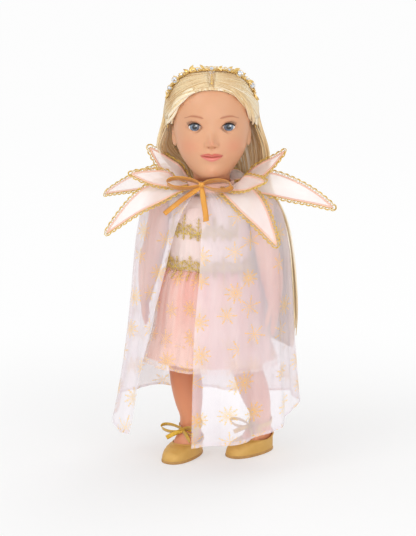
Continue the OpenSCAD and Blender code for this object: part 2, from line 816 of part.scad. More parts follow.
module hair_length() {
    // the crown of the fall turns with the head and its lower end hangs straight down the back
    grid = function (out) [
        for (s = fall_shares)
            [for (j = [0:fall_n])
                let (
                    g = mix(s[1], s[2], j/fall_n),
                    turn = head_turn*(1 - ease(s[0]/0.28)),
                    lock = 0.12*hair_fall_t*sin(g*14)*ease(s[0]*3),
                    oval = oval_reach(g + turn, cape_side*s[3], cape_back*s[4]),
                    reach = oval + lock + out*hair_fall_t*s[5],
                    ends = 0.12*pow(1 - j/fall_n, 2)*ease(s[0]*2 - 1))
                    [reach*sin(g), neck_set_back + reach*cos(g), hair_top_z - hair_len*(s[0] - ends)]]];
    color("wheat")
        shell(grid(1), grid(0));
}

// Headband

// Lean of the band towards the back, in degrees
band_tilt = 16;
// Height of the middle of the arc and rise of the arc above it, as shares from chin to crown
band_seat_share = 0.565;
band_rise_share = 0.435;
band_z = head_z(band_seat_share);
band_side = head_w/2 + hair_t + lay_gap*3;
band_rise = head_h*band_rise_share + hair_t + lay_gap*6;
// Heights of the first and the last bead of the drop
drop_shares = [0.965, 0.895];
// Share that squares the arc of the band to the shape of the hair
band_square_share = 0.74;

// Point on the band at a share of its run, moved out from the head
function band_at(t, out) =
    let (a = mix(-8, 188, t), c = cos(a), s = sin(a))
        [-(band_side + out)*sign(c)*pow(abs(c), band_square_share), 0,
         (band_rise + out)*sign(s)*pow(abs(s), band_square_share)];

module band_frame() {
    head_frame()
        translate([0, 0, band_z])
            rotate([band_tilt, 0, 0])
                children();
}

module headband_band() {
    steps = 44;
    path = [for (i = [0:steps]) band_at(i/steps, band_t)];
    color("goldenrod")
        band_frame()
            strip(path, [0, -1, 0], band_w, band_t);
}

// Leaf that leans along the band
module band_leaf(t, lean) {
    rows = 4;
    seat = band_at(t, band_t + 2*lay_gap) + [0, lean*band_w/2, 0];
    along = unit(band_at(t + 0.01, 0) - band_at(t - 0.01, 0));
    rise = unit(cross(along, [0, 1, 0]));
    run = unit(along*0.35 + [0, lean*0.85, 0] + rise*0.4);
    across = unit(cross(rise, run));
    grid = [
        for (i = [0:rows])
            let (s = i/rows, w = band_leaf_w/2*max(sin(180*(0.1 + 0.88*s)), 0.08))
                [for (k = [1, 0, -1])
                    seat + run*band_leaf_l*s + across*w*k + rise*band_leaf_w*0.1*(1 - abs(k))*sin(180*s)]];
    cloth(grid, band_t/2);
}

module headband_leaves() {
    color("goldenrod")
        band_frame()
            for (s = band_leaf_shares)
                band_leaf(s[0], s[1]);
}

module headband_stones() {
    color("aliceblue")
        band_frame()
            for (s = stone_shares) {
                r = stone_r*s[1];
                rise = unit(cross(band_at(s[0] + 0.01, 0) - band_at(s[0] - 0.01, 0), [0, 1, 0]));
                translate(band_at(s[0], band_t) + rise*(r + end_gap))
                    sphere(r = r);
            }
}

// Beads that hang from the band down the parting
module headband_drop() {
    beads = 6;
    color("goldenrod")
        head_frame()
            for (i = [0:beads - 1])
                let (
                    r = drop_bead_r*(i == beads - 1 ? 1.6 : 1),
                    share = mix(drop_shares[0], drop_shares[1], i/(beads - 1)))
                    translate(hair_at(0, share, hair_t + r + lay_gap))
                        sphere(r = r);
}

// Arms

// Dome that closes the top of a limb
dome_angles = [20, 40, 60, 76, 86];

function arm_at(drop, reach) =
    [arm_x + arm_reach*reach, -arm_reach*0.3*ease(drop), shoulder_h - arm_len*drop];
function flat_inside(rings, face) = [for (r = rings) [for (p = r) [max(p[0], face), p[1], p[2]]]];

module arm(side) {
    run = [
        for (s = arm_shares)
            ring(arm_n, arm_at(s[0], s[1]), arm_r*s[2], arm_r*s[3], arm_r*s[3])];
    dome = [
        for (a = dome_angles)
            let (r = arm_r*cos(a))
                ring(arm_n, [arm_x, 0, shoulder_h + arm_r*sin(a)], r, r, r)];
    knuckle = arm_at(arm_shares[0][0], arm_shares[0][1]);
    palm_d = arm_r*0.66;
    color("burlywood")
        to_side(side)
            union() {
                loft(flat_inside(concat(run, dome), arm_face));
                for (f = finger_shares) {
                    root = knuckle + [0, palm_d*f[0]*1.25, finger_r];
                    tip = arm_at(f[1], 1) + [-finger_r, palm_d*f[0]*1.25, finger_r];
                    bead_chain([root, mix(root, tip, 0.5) + [finger_r/4, 0, 0], tip], finger_r);
                }
                thumb_root = arm_at(0.76, 0.85) + [0, -palm_d, 0];
                thumb_tip = arm_at(0.88, 0.85) + [-finger_r, -palm_d*1.5, 0];
                thumb_joint = mix(thumb_root, thumb_tip, 0.5) + [0, -finger_r/2, 0];
                bead_chain([thumb_root, thumb_joint, thumb_tip], finger_r*1.1);
            }
}

// Legs and feet

toe_y = -foot_l*toe_share;
instep_y = toe_y + foot_l*instep_share;
foot_base_z = sole_t + lay_gap;

function leg_z(share) = mix(ankle_h, hip_h, share);

// The feet are turned about the ankle and lean to one side, and the left one is set back
function step_of(side) = side == "left" ? left_step : 0;
function turn_of(side) = side == "left" ? -left_turn : right_turn;
function lean_of(side) = side == "left" ? legs_lean : -legs_lean;
ankle_y = thigh_r*0.115;
ankle_top_z = ankle_h + 2*ankle_ribbon_w;

module foot_place(side) {
    translate([leg_x + lean_of(side), ankle_y + step_of(side), 0])
        rotate([0, 0, turn_of(side)])
            translate([-leg_x, -ankle_y, 0])
                children();
}

// Point of a leg that follows its foot below the ankle and its hip at the top
function stepped(p, side) =
    let (
        low = min(1, max(0, 1 - 1.2*(p[2] - ankle_top_z)/(hip_h - ankle_top_z))),
        turn = turn_of(side)*ease(low),
        foot = [leg_x + lean_of(side)*pow(low, 2), ankle_y + step_of(side)*pow(low, 1.4)],
        x = p[0] - leg_x,
        y = p[1] - ankle_y)
        [foot[0] + x*cos(turn) - y*sin(turn), foot[1] + x*sin(turn) + y*cos(turn), p[2]];

// Section of the foot between a near and a far point along a slope, as wide as given
function foot_ring(near, far, half_w) =
    let (mid = (near + far)/2, reach = (far - near)/2)
        [for (i = [0:leg_n - 1])
            let (a = 360*i/leg_n)
                [leg_x + half_w*sin(a), mid[0] - reach[0]*cos(a), mid[1] - reach[1]*cos(a)]];

module leg(side) {
    forefoot = [
        for (s = forefoot_shares)
            let (y = toe_y + foot_l*s[0])
                foot_ring([y, ankle_h*s[1]], [y, max(ankle_h*s[2], foot_base_z)], foot_w*s[3])];
    heel = [
        for (s = heel_shares)
            let (
                slope = [cos(s[0]), -sin(s[0])],
                pivot = [instep_y, ankle_h],
                far = min(ankle_h*s[2], (ankle_h - foot_base_z)/sin(s[0])))
                foot_ring(pivot + slope*ankle_h*s[1], pivot + slope*far, foot_w*s[3])];
    shank = [
        for (s = leg_shares)
            ring(leg_n, [leg_x, thigh_r*s[3], leg_z(s[0])], thigh_r*s[1], thigh_r*s[2], thigh_r*s[2])];
    dome = [
        for (a = dome_angles)
            let (r = thigh_r*cos(a))
                ring(leg_n, [leg_x, 0, hip_h + thigh_r*sin(a)], r, r, r)];
    rings = flat_inside(concat(forefoot, heel, shank, dome), leg_face);
    color("burlywood")
        to_side(side)
            loft([for (r = rings) [for (p = r) stepped(p, side)]]);
}

// Shoes

shoe_toe_y = toe_y - shoe_room - upper_t;
shoe_l = foot_l + 2*(shoe_room + upper_t);
// Half width of the foot's tread as a share of the foot's width
tread_share = 0.515;
shoe_half_w = foot_w*tread_share + shoe_room + upper_t;
// Share by which the toe is broader and the heel narrower than the middle
shoe_taper_share = 0.09;

// Point of the shoe's outline at an angle from the toe, drawn in by an inset
function shoe_at(a, inset) =
    let (w = (shoe_half_w*(1 + shoe_taper_share*cos(a)) - inset), s = sin(a), c = cos(a))
        [leg_x + w*sign(s)*pow(abs(s), 0.85),
         shoe_toe_y + shoe_l/2 - (shoe_l/2 - inset)*sign(c)*pow(abs(c), 0.9)];

// Distance of the throat behind the toe, as a share of the shoe's length
throat_share = 0.34;
throat_y = shoe_toe_y + shoe_l*throat_share;

// Point of the shoe's topline at an angle from the toe
function topline_at(a) =
    let (
        back_y = shoe_toe_y + shoe_l - upper_t/2,
        half_l = (back_y - throat_y)/2,
        front = cos(a) > 0,
        rise = mix(quarter_h, front ? throat_h : counter_h, pow(abs(cos(a)), front ? 1.5 : 2)))
        [leg_x + (shoe_half_w - upper_t*0.6)*0.98*sin(a), throat_y + half_l - half_l*cos(a), sole_t + rise];

module shoe_sole(side) {
    color("peru")
        to_side(side)
            foot_place(side)
                linear_extrude(height = sole_t)
                    polygon([for (i = [0:shoe_n - 1]) shoe_at(360*i/shoe_n, 0)]);
}

module shoe_upper(side) {
    rows = 5;
    grid = [
        for (i = [0:rows])
            [for (j = [0:shoe_n - 1])
                let (a = 360*j/shoe_n, t = 90*i/rows, low = shoe_at(a, upper_t/2), top = topline_at(a))
                    [mix(low[0], top[0], 1 - cos(t)), mix(low[1], top[1], 1 - cos(t)),
                     mix(sole_t, top[2], sin(t))]]];
    inner = moved(grid, -upper_t, true);
    seated = [
        for (i = [0:rows])
            [for (p = inner[i]) [p[0], p[1], i == 0 ? sole_t : max(p[2], sole_t)]]];
    color("goldenrod")
        to_side(side)
            foot_place(side)
                shell(grid, seated, true);
}

// Ribbons

// Loop of a bow from its knot along a direction, as a drop-shaped path
function bow_loop_path(knot, run, rise, length, height) = [
    for (i = [0:14])
        let (t = mix(14, 346, i/14))
            knot + run*length*(1 - cos(t))/2 + rise*height/2*sin(t)*(0.45 + 0.55*sin(t/2))];

// Tail of a bow from its knot along a direction, bending down by a sag
function bow_tail_path(knot, run, sag, length) = [
    for (i = [0:6])
        let (t = i/6)
            knot + run*length*t + [0, 0, -sag*t*t]];

bow_knot = [0, -collar_out_r - bow_knot_r - lay_gap, collar_top_z - bow_knot_r];

module bow_knot_piece() {
    color("darkgoldenrod")
        translate(bow_knot)
            rotate_extrude()
                polygon(concat(
                    [[0, -ribbon_w/2]],
                    [for (a = [-60:20:60]) [bow_knot_r*cos(a*0.7), ribbon_w/2*sin(a)/sin(60)]],
                    [[0, ribbon_w/2]]));
}

module bow_loops() {
    color("darkgoldenrod")
        for (side = [-1, 1]) {
            run = unit([side, -0.22, 0.05]);
            across = unit([-side*0.3, -1, 0.25]);
            rise = cross(run, across)*side;
            strip(
                bow_loop_path(bow_knot + run*(bow_knot_r + end_gap), run, rise, bow_loop_l, bow_loop_h),
                across, ribbon_w, ribbon_t);
        }
}

module bow_tails() {
    face = [0, -0.8, 0.6];
    start = bow_knot - [0, 0, ribbon_w/2 + end_gap];
    color("darkgoldenrod")
        for (run = [unit([-0.68, -0.36, -0.44]), unit([0.3, -0.52, -0.62])])
            strip(
                bow_tail_path(start + run*ribbon_w*0.3, run, bow_tail_l*0.12, bow_tail_l),
                unit(cross(run, face)), ribbon_w, ribbon_t);
}

module ankle_ribbon(side) {
    band_in_r = thigh_r*0.66 + lay_gap;
    band_out_r = band_in_r + ribbon_t;
    knot_r = ankle_ribbon_w*0.45;
    centre = [leg_x, ankle_y, ankle_h - lay_gap];
    knot = centre + [0, -band_out_r - knot_r - end_gap, ankle_ribbon_w/2];
    color("goldenrod")
        to_side(side)
            foot_place(side) {
                translate(centre)
                    difference() {
                        cylinder(r = band_out_r, h = ankle_ribbon_w);
                        translate([0, 0, -cut_over])
                            cylinder(r = band_in_r, h = ankle_ribbon_w + 2*cut_over);
                    }
                translate(knot)
                    sphere(r = knot_r);
                for (turn = [-1, 1]) {
                    run = unit([turn, -0.3, 0.12]);
                    across = unit([-turn*0.3, -1, 0.2]);
                    rise = cross(run, across)*turn;
                    strip(
                        bow_loop_path(knot + run*knot_r, run, rise, ankle_loop_l, ankle_loop_l*0.36),
                        across, ankle_ribbon_w, ribbon_t);
                    fall = unit([turn*0.75, -0.5, -0.3]);
                    tail_start = knot + fall*(knot_r + ankle_ribbon_w*0.35);
                    strip(
                        bow_tail_path(tail_start, fall, ankle_loop_l*0.1, ankle_loop_l*0.7),
                        unit([0.2*turn, -0.3, -0.9]), ankle_ribbon_w, ribbon_t);
                }
            }
}

// Dress

// Grid round the body between two heights that may change with the angle, standing off the body
function body_grid(n, rows, low, high, off, spread, closed) = [
    for (i = [0:rows])
        [for (j = [0:n - 1])
            let (
                a = closed ? 360*j/n : mix(-spread, spread, j/(n - 1)),
                z = mix(low(a), high(a), i/rows))
                [(body_side(z) + off)*sin(a), -(body_depth(z) + off)*cos(a), z]]];

bodice_off = 2*lay_gap + bodice_t;
lace_off = bodice_off + 1.6*lay_gap + lace_t;
// Heights between waist and neck seat
bodice_top_share = 0.88;
bodice_arm_share = 0.54;
chest_lace_shares = [0.44, 0.8];
waist_lace_shares = [0.02, 0.23];

function dress_z(share) = mix(waist_h, seat_h, share);

module dress_bodice() {
    top = function (a) dress_z(mix(bodice_arm_share, bodice_top_share, pow(abs(cos(a)), 1.3)));
    low = function (a) waist_h - bodice_t;
    color("mistyrose")
        cloth(body_grid(32, 13, low, top, bodice_off, 0, true), bodice_t, true);
}

// Points of the lace along an edge
function lace_edge(a, points) = abs(sin(a*points/2));

module chest_lace() {
    high = function (a) dress_z(chest_lace_shares[1] - 0.04*lace_edge(a, 18));
    low = function (a) dress_z(chest_lace_shares[0] + 0.05*lace_edge(a, 18));
    color("darkkhaki")
        cloth(body_grid(33, 2, low, high, lace_off, 54, false), lace_t);
}

module waist_lace() {
    high = function (a) dress_z(waist_lace_shares[1] - 0.04*lace_edge(a, 18));
    low = function (a) dress_z(waist_lace_shares[0]);
    color("darkkhaki")
        cloth(body_grid(54, 1, low, high, lace_off, 0, true), lace_t, true);
}

// Gathered ring of cloth from the waist down, standing off the bodice
function skirt_grid(off, length) =
    let (side = body_side(waist_h) + bodice_off + off, depth = body_depth(waist_h) + bodice_off + off)
        [for (s = [for (k = [len(skirt_shares) - 1:-1:0]) skirt_shares[k]])
            [for (j = [0:skirt_n - 1])
                let (
                    a = 360*j/skirt_n,
                    flare = skirt_flare*pow(length/skirt_len, 2)*(1 - 0.18*max(0, -cos(a))),
                    out = (flare + skirt_fold*cos(a*skirt_folds))*s[1])
                    [(side + out)*sin(a), -(depth + out)*cos(a), waist_h - length*s[0]]]];

module skirt_lining() {
    color("lightpink")
        cloth(skirt_grid(lay_gap + skirt_t, skirt_len - lining_short), skirt_t, true);
}

module skirt_overlay() {
    color("pink")
        cloth(skirt_grid(3*lay_gap + 2*skirt_t, skirt_len), skirt_t, true);
}

// Cape: rows run down from the neck, columns from the right front edge round the back to the left one
function cape_row(i) =
    let (
        s = cape_shares[i],
        base = collar_out_r + lay_gap,
        top_z = collar_z + collar_h*0.2,
        first = cape_edge_angles[i],
        last = 360 - cape_left_angles[i])
        [for (j = [0:cape_n - 1])
            let (
                a = mix(first, last, j/(cape_n - 1)),
                across = pow(sin(a), 2),
                fore = cos(a) > 0,
                side = mix(base, cape_side, s[0]),
                depth = fore ? mix(base, cape_front, s[2]) : mix(base, cape_back, s[4]),
                drop = mix(fore ? s[3] : s[5], s[1], across),
                hem = mix(1, lookup(a, cape_hem_shares), pow(drop, 3)),
                wave = cape_fold*pow(drop, 0.8)*cos(a*cape_folds),
                sweep = cape_flare*pow(drop, 4)*max(0, sin(a)))
                [-(side + wave + sweep)*sin(a), -(depth + wave)*cos(a), top_z - cape_len*drop*hem]];

module cape() {
    color("lavenderblush")
        cloth([for (i = [0:len(cape_shares) - 1]) cape_row(i)], cape_t);
}

module collar_band() {
    color("moccasin")
        translate([0, 0, collar_z])
            difference() {
                cylinder(r = collar_out_r, h = collar_h);
                translate([0, 0, -cut_over])
                    cylinder(r = collar_in_r, h = collar_h + 2*cut_over);
            }
}

// Leaf-shaped petal along a bent line from the collar outwards
module petal(row) {
    rows = 8;
    upper = row[1] == 1;
    width = upper ? upper_petal_w : lower_petal_w;
    base_z = collar_z + collar_h*(upper ? upper_base_share : lower_base_share);
    base_r = collar_out_r + lay_gap;
    bend = [petal_reach*row[2], base_z + collar_h*row[4]];
    tip = [petal_reach*row[3], base_z + collar_h*row[5]];
    line = function (t) [
        mix(mix(base_r, bend[0], t), mix(bend[0], tip[0], t), t),
        mix(mix(base_z, bend[1], t), mix(bend[1], tip[1], t), t)];
    grid = [
        for (i = [0:rows])
            let (
                t = i/rows,
                p = line(t),
                w = width/2*max(pow(sin(180*(0.12 + 0.86*t)), 0.8), 0.05),
                turn = petal_roll*sin(row[0])*ease(t*2.5),
                mid_z = p[1] + w*petal_lift_share*abs(sin(turn)),
                sag = width*0.05*sin(180*t))
                [for (k = [1, 0, -1]) [w*k*cos(turn), -p[0], mid_z + w*k*sin(turn) - sag*abs(k)]]];
    color("mistyrose")
        rotate([0, 0, row[0]])
            cloth(grid, petal_t);
}

cloth_torso();
neck_post();
neck_washer();
shoulder_cup("right");  // right_shoulder_cup
shoulder_cup("left");  // left_shoulder_cup
hip_cup("right");  // right_hip_cup
hip_cup("left");  // left_hip_cup
dress_bodice();
chest_lace();
waist_lace();
skirt_lining();
skirt_overlay();
cape();
collar_band();
for (i = [1:len(petal_shares)])
    petal(petal_shares[i - 1]);
bow_knot_piece();  // bow_knot
bow_loops();
bow_tails();
head_shell();
neck_ring();
hair_cap();
hair_length();
eye_bracket();
eye("right");  // right_eye
eye("left");  // left_eye
eye_axle();
eye_weight();
headband_band();
headband_leaves();
headband_stones();
headband_drop();
arm("right");  // right_arm
arm("left");  // left_arm
arm_stem("right");  // right_arm_stem
arm_stem("left");  // left_arm_stem
leg("right");  // right_leg
leg("left");  // left_leg
leg_stem("right");  // right_leg_stem
leg_stem("left");  // left_leg_stem
shoe_upper("right");  // right_shoe_upper
shoe_upper("left");  // left_shoe_upper
shoe_sole("right");  // right_shoe_sole
shoe_sole("left");  // left_shoe_sole
ankle_ribbon("right");  // right_ankle_ribbon
ankle_ribbon("left");  // left_ankle_ribbon
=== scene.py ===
import bpy
import numpy as np
from numpy import (array, clip, concatenate, cos, degrees, exp, hypot, linspace, maximum, pi, radians, sin,
                   sqrt, where)
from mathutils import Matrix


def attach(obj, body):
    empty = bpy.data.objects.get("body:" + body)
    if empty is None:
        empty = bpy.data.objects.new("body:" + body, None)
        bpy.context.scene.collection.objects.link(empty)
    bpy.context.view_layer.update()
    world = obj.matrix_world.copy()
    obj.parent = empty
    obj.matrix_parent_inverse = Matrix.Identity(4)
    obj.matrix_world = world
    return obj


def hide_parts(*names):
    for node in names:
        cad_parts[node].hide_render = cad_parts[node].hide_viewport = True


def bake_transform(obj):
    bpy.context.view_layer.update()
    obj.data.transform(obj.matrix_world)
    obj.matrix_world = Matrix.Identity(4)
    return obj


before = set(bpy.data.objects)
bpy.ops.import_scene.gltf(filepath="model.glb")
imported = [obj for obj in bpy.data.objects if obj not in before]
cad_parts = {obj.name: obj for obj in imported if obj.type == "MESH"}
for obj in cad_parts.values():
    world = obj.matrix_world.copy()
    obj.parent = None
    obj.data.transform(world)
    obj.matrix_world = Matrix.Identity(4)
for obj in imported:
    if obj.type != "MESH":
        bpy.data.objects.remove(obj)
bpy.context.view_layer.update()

mm = 0.001
seed = 7
rng = np.random.default_rng(seed)
print("frame loaded")


# numbers and curves

class Sizes(dict):  # a piece's dictionary, its values also read as sizes.name
    __getattr__ = dict.__getitem__


def smooth(t):  # 3t^2 - 2t^3 between 0 and 1
    t = clip(t, 0, 1)
    return t * t * (3 - 2 * t)


def mixed(a, b, t):
    return a + (b - a) * t


def around(n):  # n even angles of a full turn
    return linspace(0, 2 * pi, n, endpoint=False)


def halfTurn(a):  # the same angle between -pi and pi
    return (a + pi) % (2 * pi) - pi


def through(x, rows):  # cubic through the rows [x, y...], slopes from the neighbouring rows
    rows = np.asarray(rows, float)
    xs, ys = rows[:, 0], rows[:, 1:]
    slope = np.gradient(ys, xs, axis=0)
    x = np.asarray(x, float)
    i = clip(np.searchsorted(xs, x, side="right") - 1, 0, len(xs) - 2)
    h = (xs[i + 1] - xs[i])[..., None]
    t = clip((x - xs[i])[..., None] / h, 0, 1)
    out = ((2 * t**3 - 3 * t**2 + 1) * ys[i] + (t**3 - 2 * t**2 + t) * h * slope[i]
           + (3 * t**2 - 2 * t**3) * ys[i + 1] + (t**3 - t**2) * h * slope[i + 1])
    return out[..., 0] if ys.shape[1] == 1 else np.moveaxis(out, -1, 0)


def bump(x, z, cx, cz, sx, sz):  # round hill of height 1 at (cx, cz)
    return exp(-((x - cx) / sx) ** 2 - ((z - cz) / sz) ** 2)


def unit(v):
    return v / maximum(np.linalg.norm(v, axis=-1, keepdims=True), 1e-9)


def stack(*parts):
    return np.stack(np.broadcast_arrays(*parts), -1)


def turned(p, angle, y0=0.0):  # turn in degrees about the vertical axis through (0, y0)
    c, s = cos(radians(angle)), sin(radians(angle))
    x, y = p[..., 0], p[..., 1]
    return stack(x * c - y * s, y0 + x * s + y * c, p[..., 2])


def mirrored(p):
    return p * array([-1.0, 1.0, 1.0])


def eased(path, rounds=3):  # each inner row moved towards its neighbours
    for _ in range(rounds):
        path[1:-1] = (path[:-2] + 2 * path[1:-1] + path[2:]) / 4
    return path


def lengthOf(path):  # metres along a path
    return float(np.linalg.norm(np.diff(path, axis=0), axis=1).sum()) * mm


def areaOf(grid):  # square metres of a grid's cells
    up, along = grid[1:, :-1] - grid[:-1, :-1], grid[:-1, 1:] - grid[:-1, :-1]
    return float(np.linalg.norm(np.cross(up, along), axis=2).sum()) * mm * mm


def hump(t):  # half wave that is 0 at 0 and 1
    return sin(pi * clip(t, 0, 1))


def power(v, p):  # power that keeps the sign
    return np.sign(v) * np.abs(v) ** p


def steps(n):  # column of even shares from 0 to 1
    return linspace(0, 1, n)[:, None]


def tinted(tint, above, mask):
    return mixed(tint, above, mask[..., None])


# meshes from grids of points in millimetres

def surface(grid, wrap=False, lowCap=False, highCap=False, flip=False, tint=None):
    rows, cols = grid.shape[:2]
    i, j = np.meshgrid(np.arange(rows - 1), np.arange(cols if wrap else cols - 1), indexing="ij")
    k = (j + 1) % cols
    quads = np.stack([i * cols + j, i * cols + k, (i + 1) * cols + k, (i + 1) * cols + j], -1).reshape(-1, 4)
    su = np.linalg.norm(np.diff(grid, axis=1), axis=2).mean(0) * mm
    sv = np.linalg.norm(np.diff(grid, axis=0), axis=2).mean(1) * mm
    u = concatenate([[0], np.cumsum(su), [np.sum(su) + su.mean()]])
    v = concatenate([[0], np.cumsum(sv)])
    corner = [stack(u[j + a], v[i + b]) for a, b in ((0, 0), (1, 0), (1, 1), (0, 1))]
    quadUv = np.stack(corner, -2).reshape(-1, 4, 2)
    points = grid.reshape(-1, 3)
    tint = None if tint is None else tint.reshape(-1, 3)
    tris, triUv = np.zeros((0, 3), int), np.zeros((0, 3, 2))
    for asked, row in ((lowCap, 0), (highCap, rows - 1)):
        if asked:
            ring = row * cols + np.arange(cols)
            ahead, pole = np.roll(ring, -1), np.full(cols, len(points))
            points = np.vstack([points, grid[row].mean(0)])
            tris = np.vstack([tris, np.stack([ahead, ring, pole] if row == 0 else [ring, ahead, pole], -1)])
            triUv = np.vstack([triUv, np.zeros((cols, 3, 2))])
            if tint is not None:
                tint = np.vstack([tint, tint[ring].mean(0)])
    if flip:
        quads, quadUv, tris, triUv = quads[:, ::-1], quadUv[:, ::-1], tris[:, ::-1], triUv[:, ::-1]
    return dict(points=points, quads=quads, quadUv=quadUv, tris=tris, triUv=triUv, tint=tint)


def skin(grid, **fields):  # surface closed all round
    return surface(grid, wrap=True, lowCap=True, highCap=True, **fields)


def tube(path, radius, sides=6, closed=False, up=(0.13, 0.31, 0.94), flat=1.0):
    # ring of points carried along a path
    path = np.asarray(path, float)
    along = unit(np.roll(path, -1, 0) - np.roll(path, 1, 0) if closed else np.gradient(path, axis=0))
    side = unit(np.cross(along, np.broadcast_to(np.asarray(up, float), along.shape)))
    top = np.cross(side, along)
    a = around(sides)[:, None]
    r = np.broadcast_to(np.asarray(radius, float), (len(path),))[:, None, None]
    grid = path[:, None] + r * (cos(a) * side[:, None] + flat * sin(a) * top[:, None])
    if closed:
        grid = concatenate([grid, grid[:1]])
    return surface(grid, wrap=True, lowCap=not closed, highCap=not closed, flip=True)


def strip(path, across, width, thick):  # rounded flat section carried along a path
    path = np.asarray(path, float)
    across = unit(np.broadcast_to(np.asarray(across, float), np.shape(path)))
    along = unit(np.gradient(path, axis=0))
    across = unit(across - along * (across * along).sum(-1, keepdims=True))
    top = np.cross(along, across)
    s = array([-1, -0.96, -0.5, 0, 0.5, 0.96, 1, 0.96, 0.5, 0, -0.5, -0.96])
    h = array([0, 1, 1, 1, 1, 1, 0, -1, -1, -1, -1, -1]) * 0.5
    w = np.broadcast_to(np.asarray(width, float), (len(path),))[:, None]
    return skin(path[:, None] + across[:, None] * (w * s / 2)[..., None]
                + top[:, None] * (h * thick)[..., None])


def ball(centre, radius, rings=8, sides=12, squash=(1, 1, 1)):
    cut = 0.12  # the poles are closed by caps
    lat = linspace(cut - pi / 2, pi / 2 - cut, rings)[:, None]
    lon = around(sides)[None]
    p = stack(cos(lat) * cos(lon), cos(lat) * sin(lon), sin(lat)) * np.asarray(squash) * radius
    return skin(p + np.asarray(centre, float))


def shell(outer, thick, wrap=False):  # closed solid of even thickness behind a grid
    cols = outer.shape[1]
    ahead = np.roll(outer, -1, 1) if wrap else concatenate([outer[:, 1:], outer[:, -1:]], 1)
    before = np.roll(outer, 1, 1) if wrap else concatenate([outer[:, :1], outer[:, :-1]], 1)
    inner = outer - thick * unit(np.cross(ahead - before, np.gradient(outer, axis=0)))
    edges = [(outer[0], inner[0], True), (outer[-1], inner[-1], False)]
    if not wrap:
        edges += [(outer[:, 0], inner[:, 0], False), (outer[:, -1], inner[:, -1], True)]
    rim = [surface(np.stack([a, b]), wrap and len(a) == cols, flip=turn) for a, b, turn in edges]
    return [surface(outer, wrap), surface(inner, wrap, flip=True)] + rim


def piece(name, parts, finish, body=None, nodes=(), slotName=None):
    parts = parts if isinstance(parts, list) else [parts]
    start = np.cumsum([0] + [len(p["points"]) for p in parts])
    points = np.vstack([p["points"] for p in parts]) * mm
    quads, tris = (np.vstack([p[k] + o for p, o in zip(parts, start)]) for k in ("quads", "tris"))
    mesh = bpy.data.meshes.new(name)
    mesh.vertices.add(len(points))
    mesh.vertices.foreach_set("co", points.astype(np.float32).ravel())
    loops = concatenate([quads.ravel(), tris.ravel()]).astype(np.int32)
    mesh.loops.add(len(loops))
    mesh.loops.foreach_set("vertex_index", loops)
    starts = concatenate([np.arange(len(quads)) * 4, len(quads) * 4 + np.arange(len(tris)) * 3])
    mesh.polygons.add(len(starts))
    mesh.polygons.foreach_set("loop_start", starts.astype(np.int32))
    uvs = np.vstack([p[k].reshape(-1, 2) for k in ("quadUv", "triUv") for p in parts])
    mesh.uv_layers.new(name="UVMap").data.foreach_set("uv", uvs.astype(np.float32).ravel())
    if all(p["tint"] is not None for p in parts):
        tint = np.vstack([p["tint"] for p in parts])
        layer = mesh.attributes.new("tint", "FLOAT_COLOR", "POINT")
        layer.data.foreach_set("color", np.hstack([tint, np.ones((len(tint), 1))]).astype(np.float32).ravel())
    mesh.update(calc_edges=True)
    mesh.validate()
    mesh.polygons.foreach_set("use_smooth", np.ones(len(mesh.polygons), bool))
    mesh.materials.append(finish)
    obj = bpy.data.objects.new(name, mesh)
    bpy.context.scene.collection.objects.link(obj)
    if body:
        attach(obj, body)
    if nodes:
        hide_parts(*nodes)
    return obj


# finishes

def colour(r, g, b):  # display colour 0-255 to linear light
    c = array([r, g, b]) / 255
    return tuple(where(c <= 0.04045, c / 12.92, ((c + 0.055) / 1.055) ** 2.4)) + (1.0,)


def tone(r, g, b):
    return array(colour(r, g, b)[:3])


class Wire:  # output of a shader node that can be added, multiplied and compared
    def __init__(self, socket, tree):
        self.socket, self.tree = socket, tree

    def calc(self, operation, *others):
        return wired(self.tree, "Math", dict(enumerate((self,) + others)), operation=operation)


for sign, kind in dict(add="ADD", sub="SUBTRACT", mul="MULTIPLY", lt="LESS_THAN", gt="GREATER_THAN").items():
    setattr(Wire, "__%s__" % sign, lambda self, other, kind=kind: self.calc(kind, other))


def node(tree, kind, inputs=(), **fields):  # shader node with its inputs set or joined
    n = tree.nodes.new("ShaderNode" + kind)
    for key, value in fields.items():
        setattr(n, key, value)
    for key, value in dict(inputs).items():
        if isinstance(value, Wire):
            tree.links.new(value.socket, n.inputs[key])
        else:
            n.inputs[key].default_value = value
    return n


def wired(tree, kind, inputs=(), out=0, **fields):
    return Wire(node(tree, kind, inputs, **fields).outputs[out], tree)


def split(vector, kind="SeparateXYZ"):
    return [Wire(s, vector.tree) for s in node(vector.tree, kind, {0: vector}).outputs]


def noise(place, scale, detail=2.0):
    return wired(place.tree, "TexNoise", {"Vector": place, "Scale": scale, "Detail": detail}, "Fac")


def ranged(value, low, high, to=(0.0, 1.0), **fields):
    return wired(value.tree, "MapRange", {0: value, 1: low, 2: high, 3: to[0], 4: to[1]}, **fields)


def ramp(fac, stops):  # colour ramp through (place, colour) stops
    n = node(fac.tree, "ValToRGB", {"Fac": fac})
    while len(n.color_ramp.elements) < len(stops):
        n.color_ramp.elements.new(0.5)
    for e, (place, value) in zip(n.color_ramp.elements, stops):
        e.position, e.color = place, colour(*value)
    return Wire(n.outputs[0], fac.tree)


def overlaid(share, below, above):  # one colour laid over another
    return wired(share.tree, "Mix", {0: share, 6: below, 7: colour(*above)}, 2, data_type="RGBA")


def feed(shader, name, wire):
    wire.tree.links.new(wire.socket, shader.inputs[name])


def addBump(shader, height, strength, distance):
    normal = wired(height.tree, "Bump", {"Strength": strength, "Distance": distance, "Height": height})
    feed(shader, "Normal", normal)


def onObject(tree):
    return wired(tree, "TexCoord", out="Object")


def onCloth(tree):
    return wired(tree, "UVMap", uv_map="UVMap")


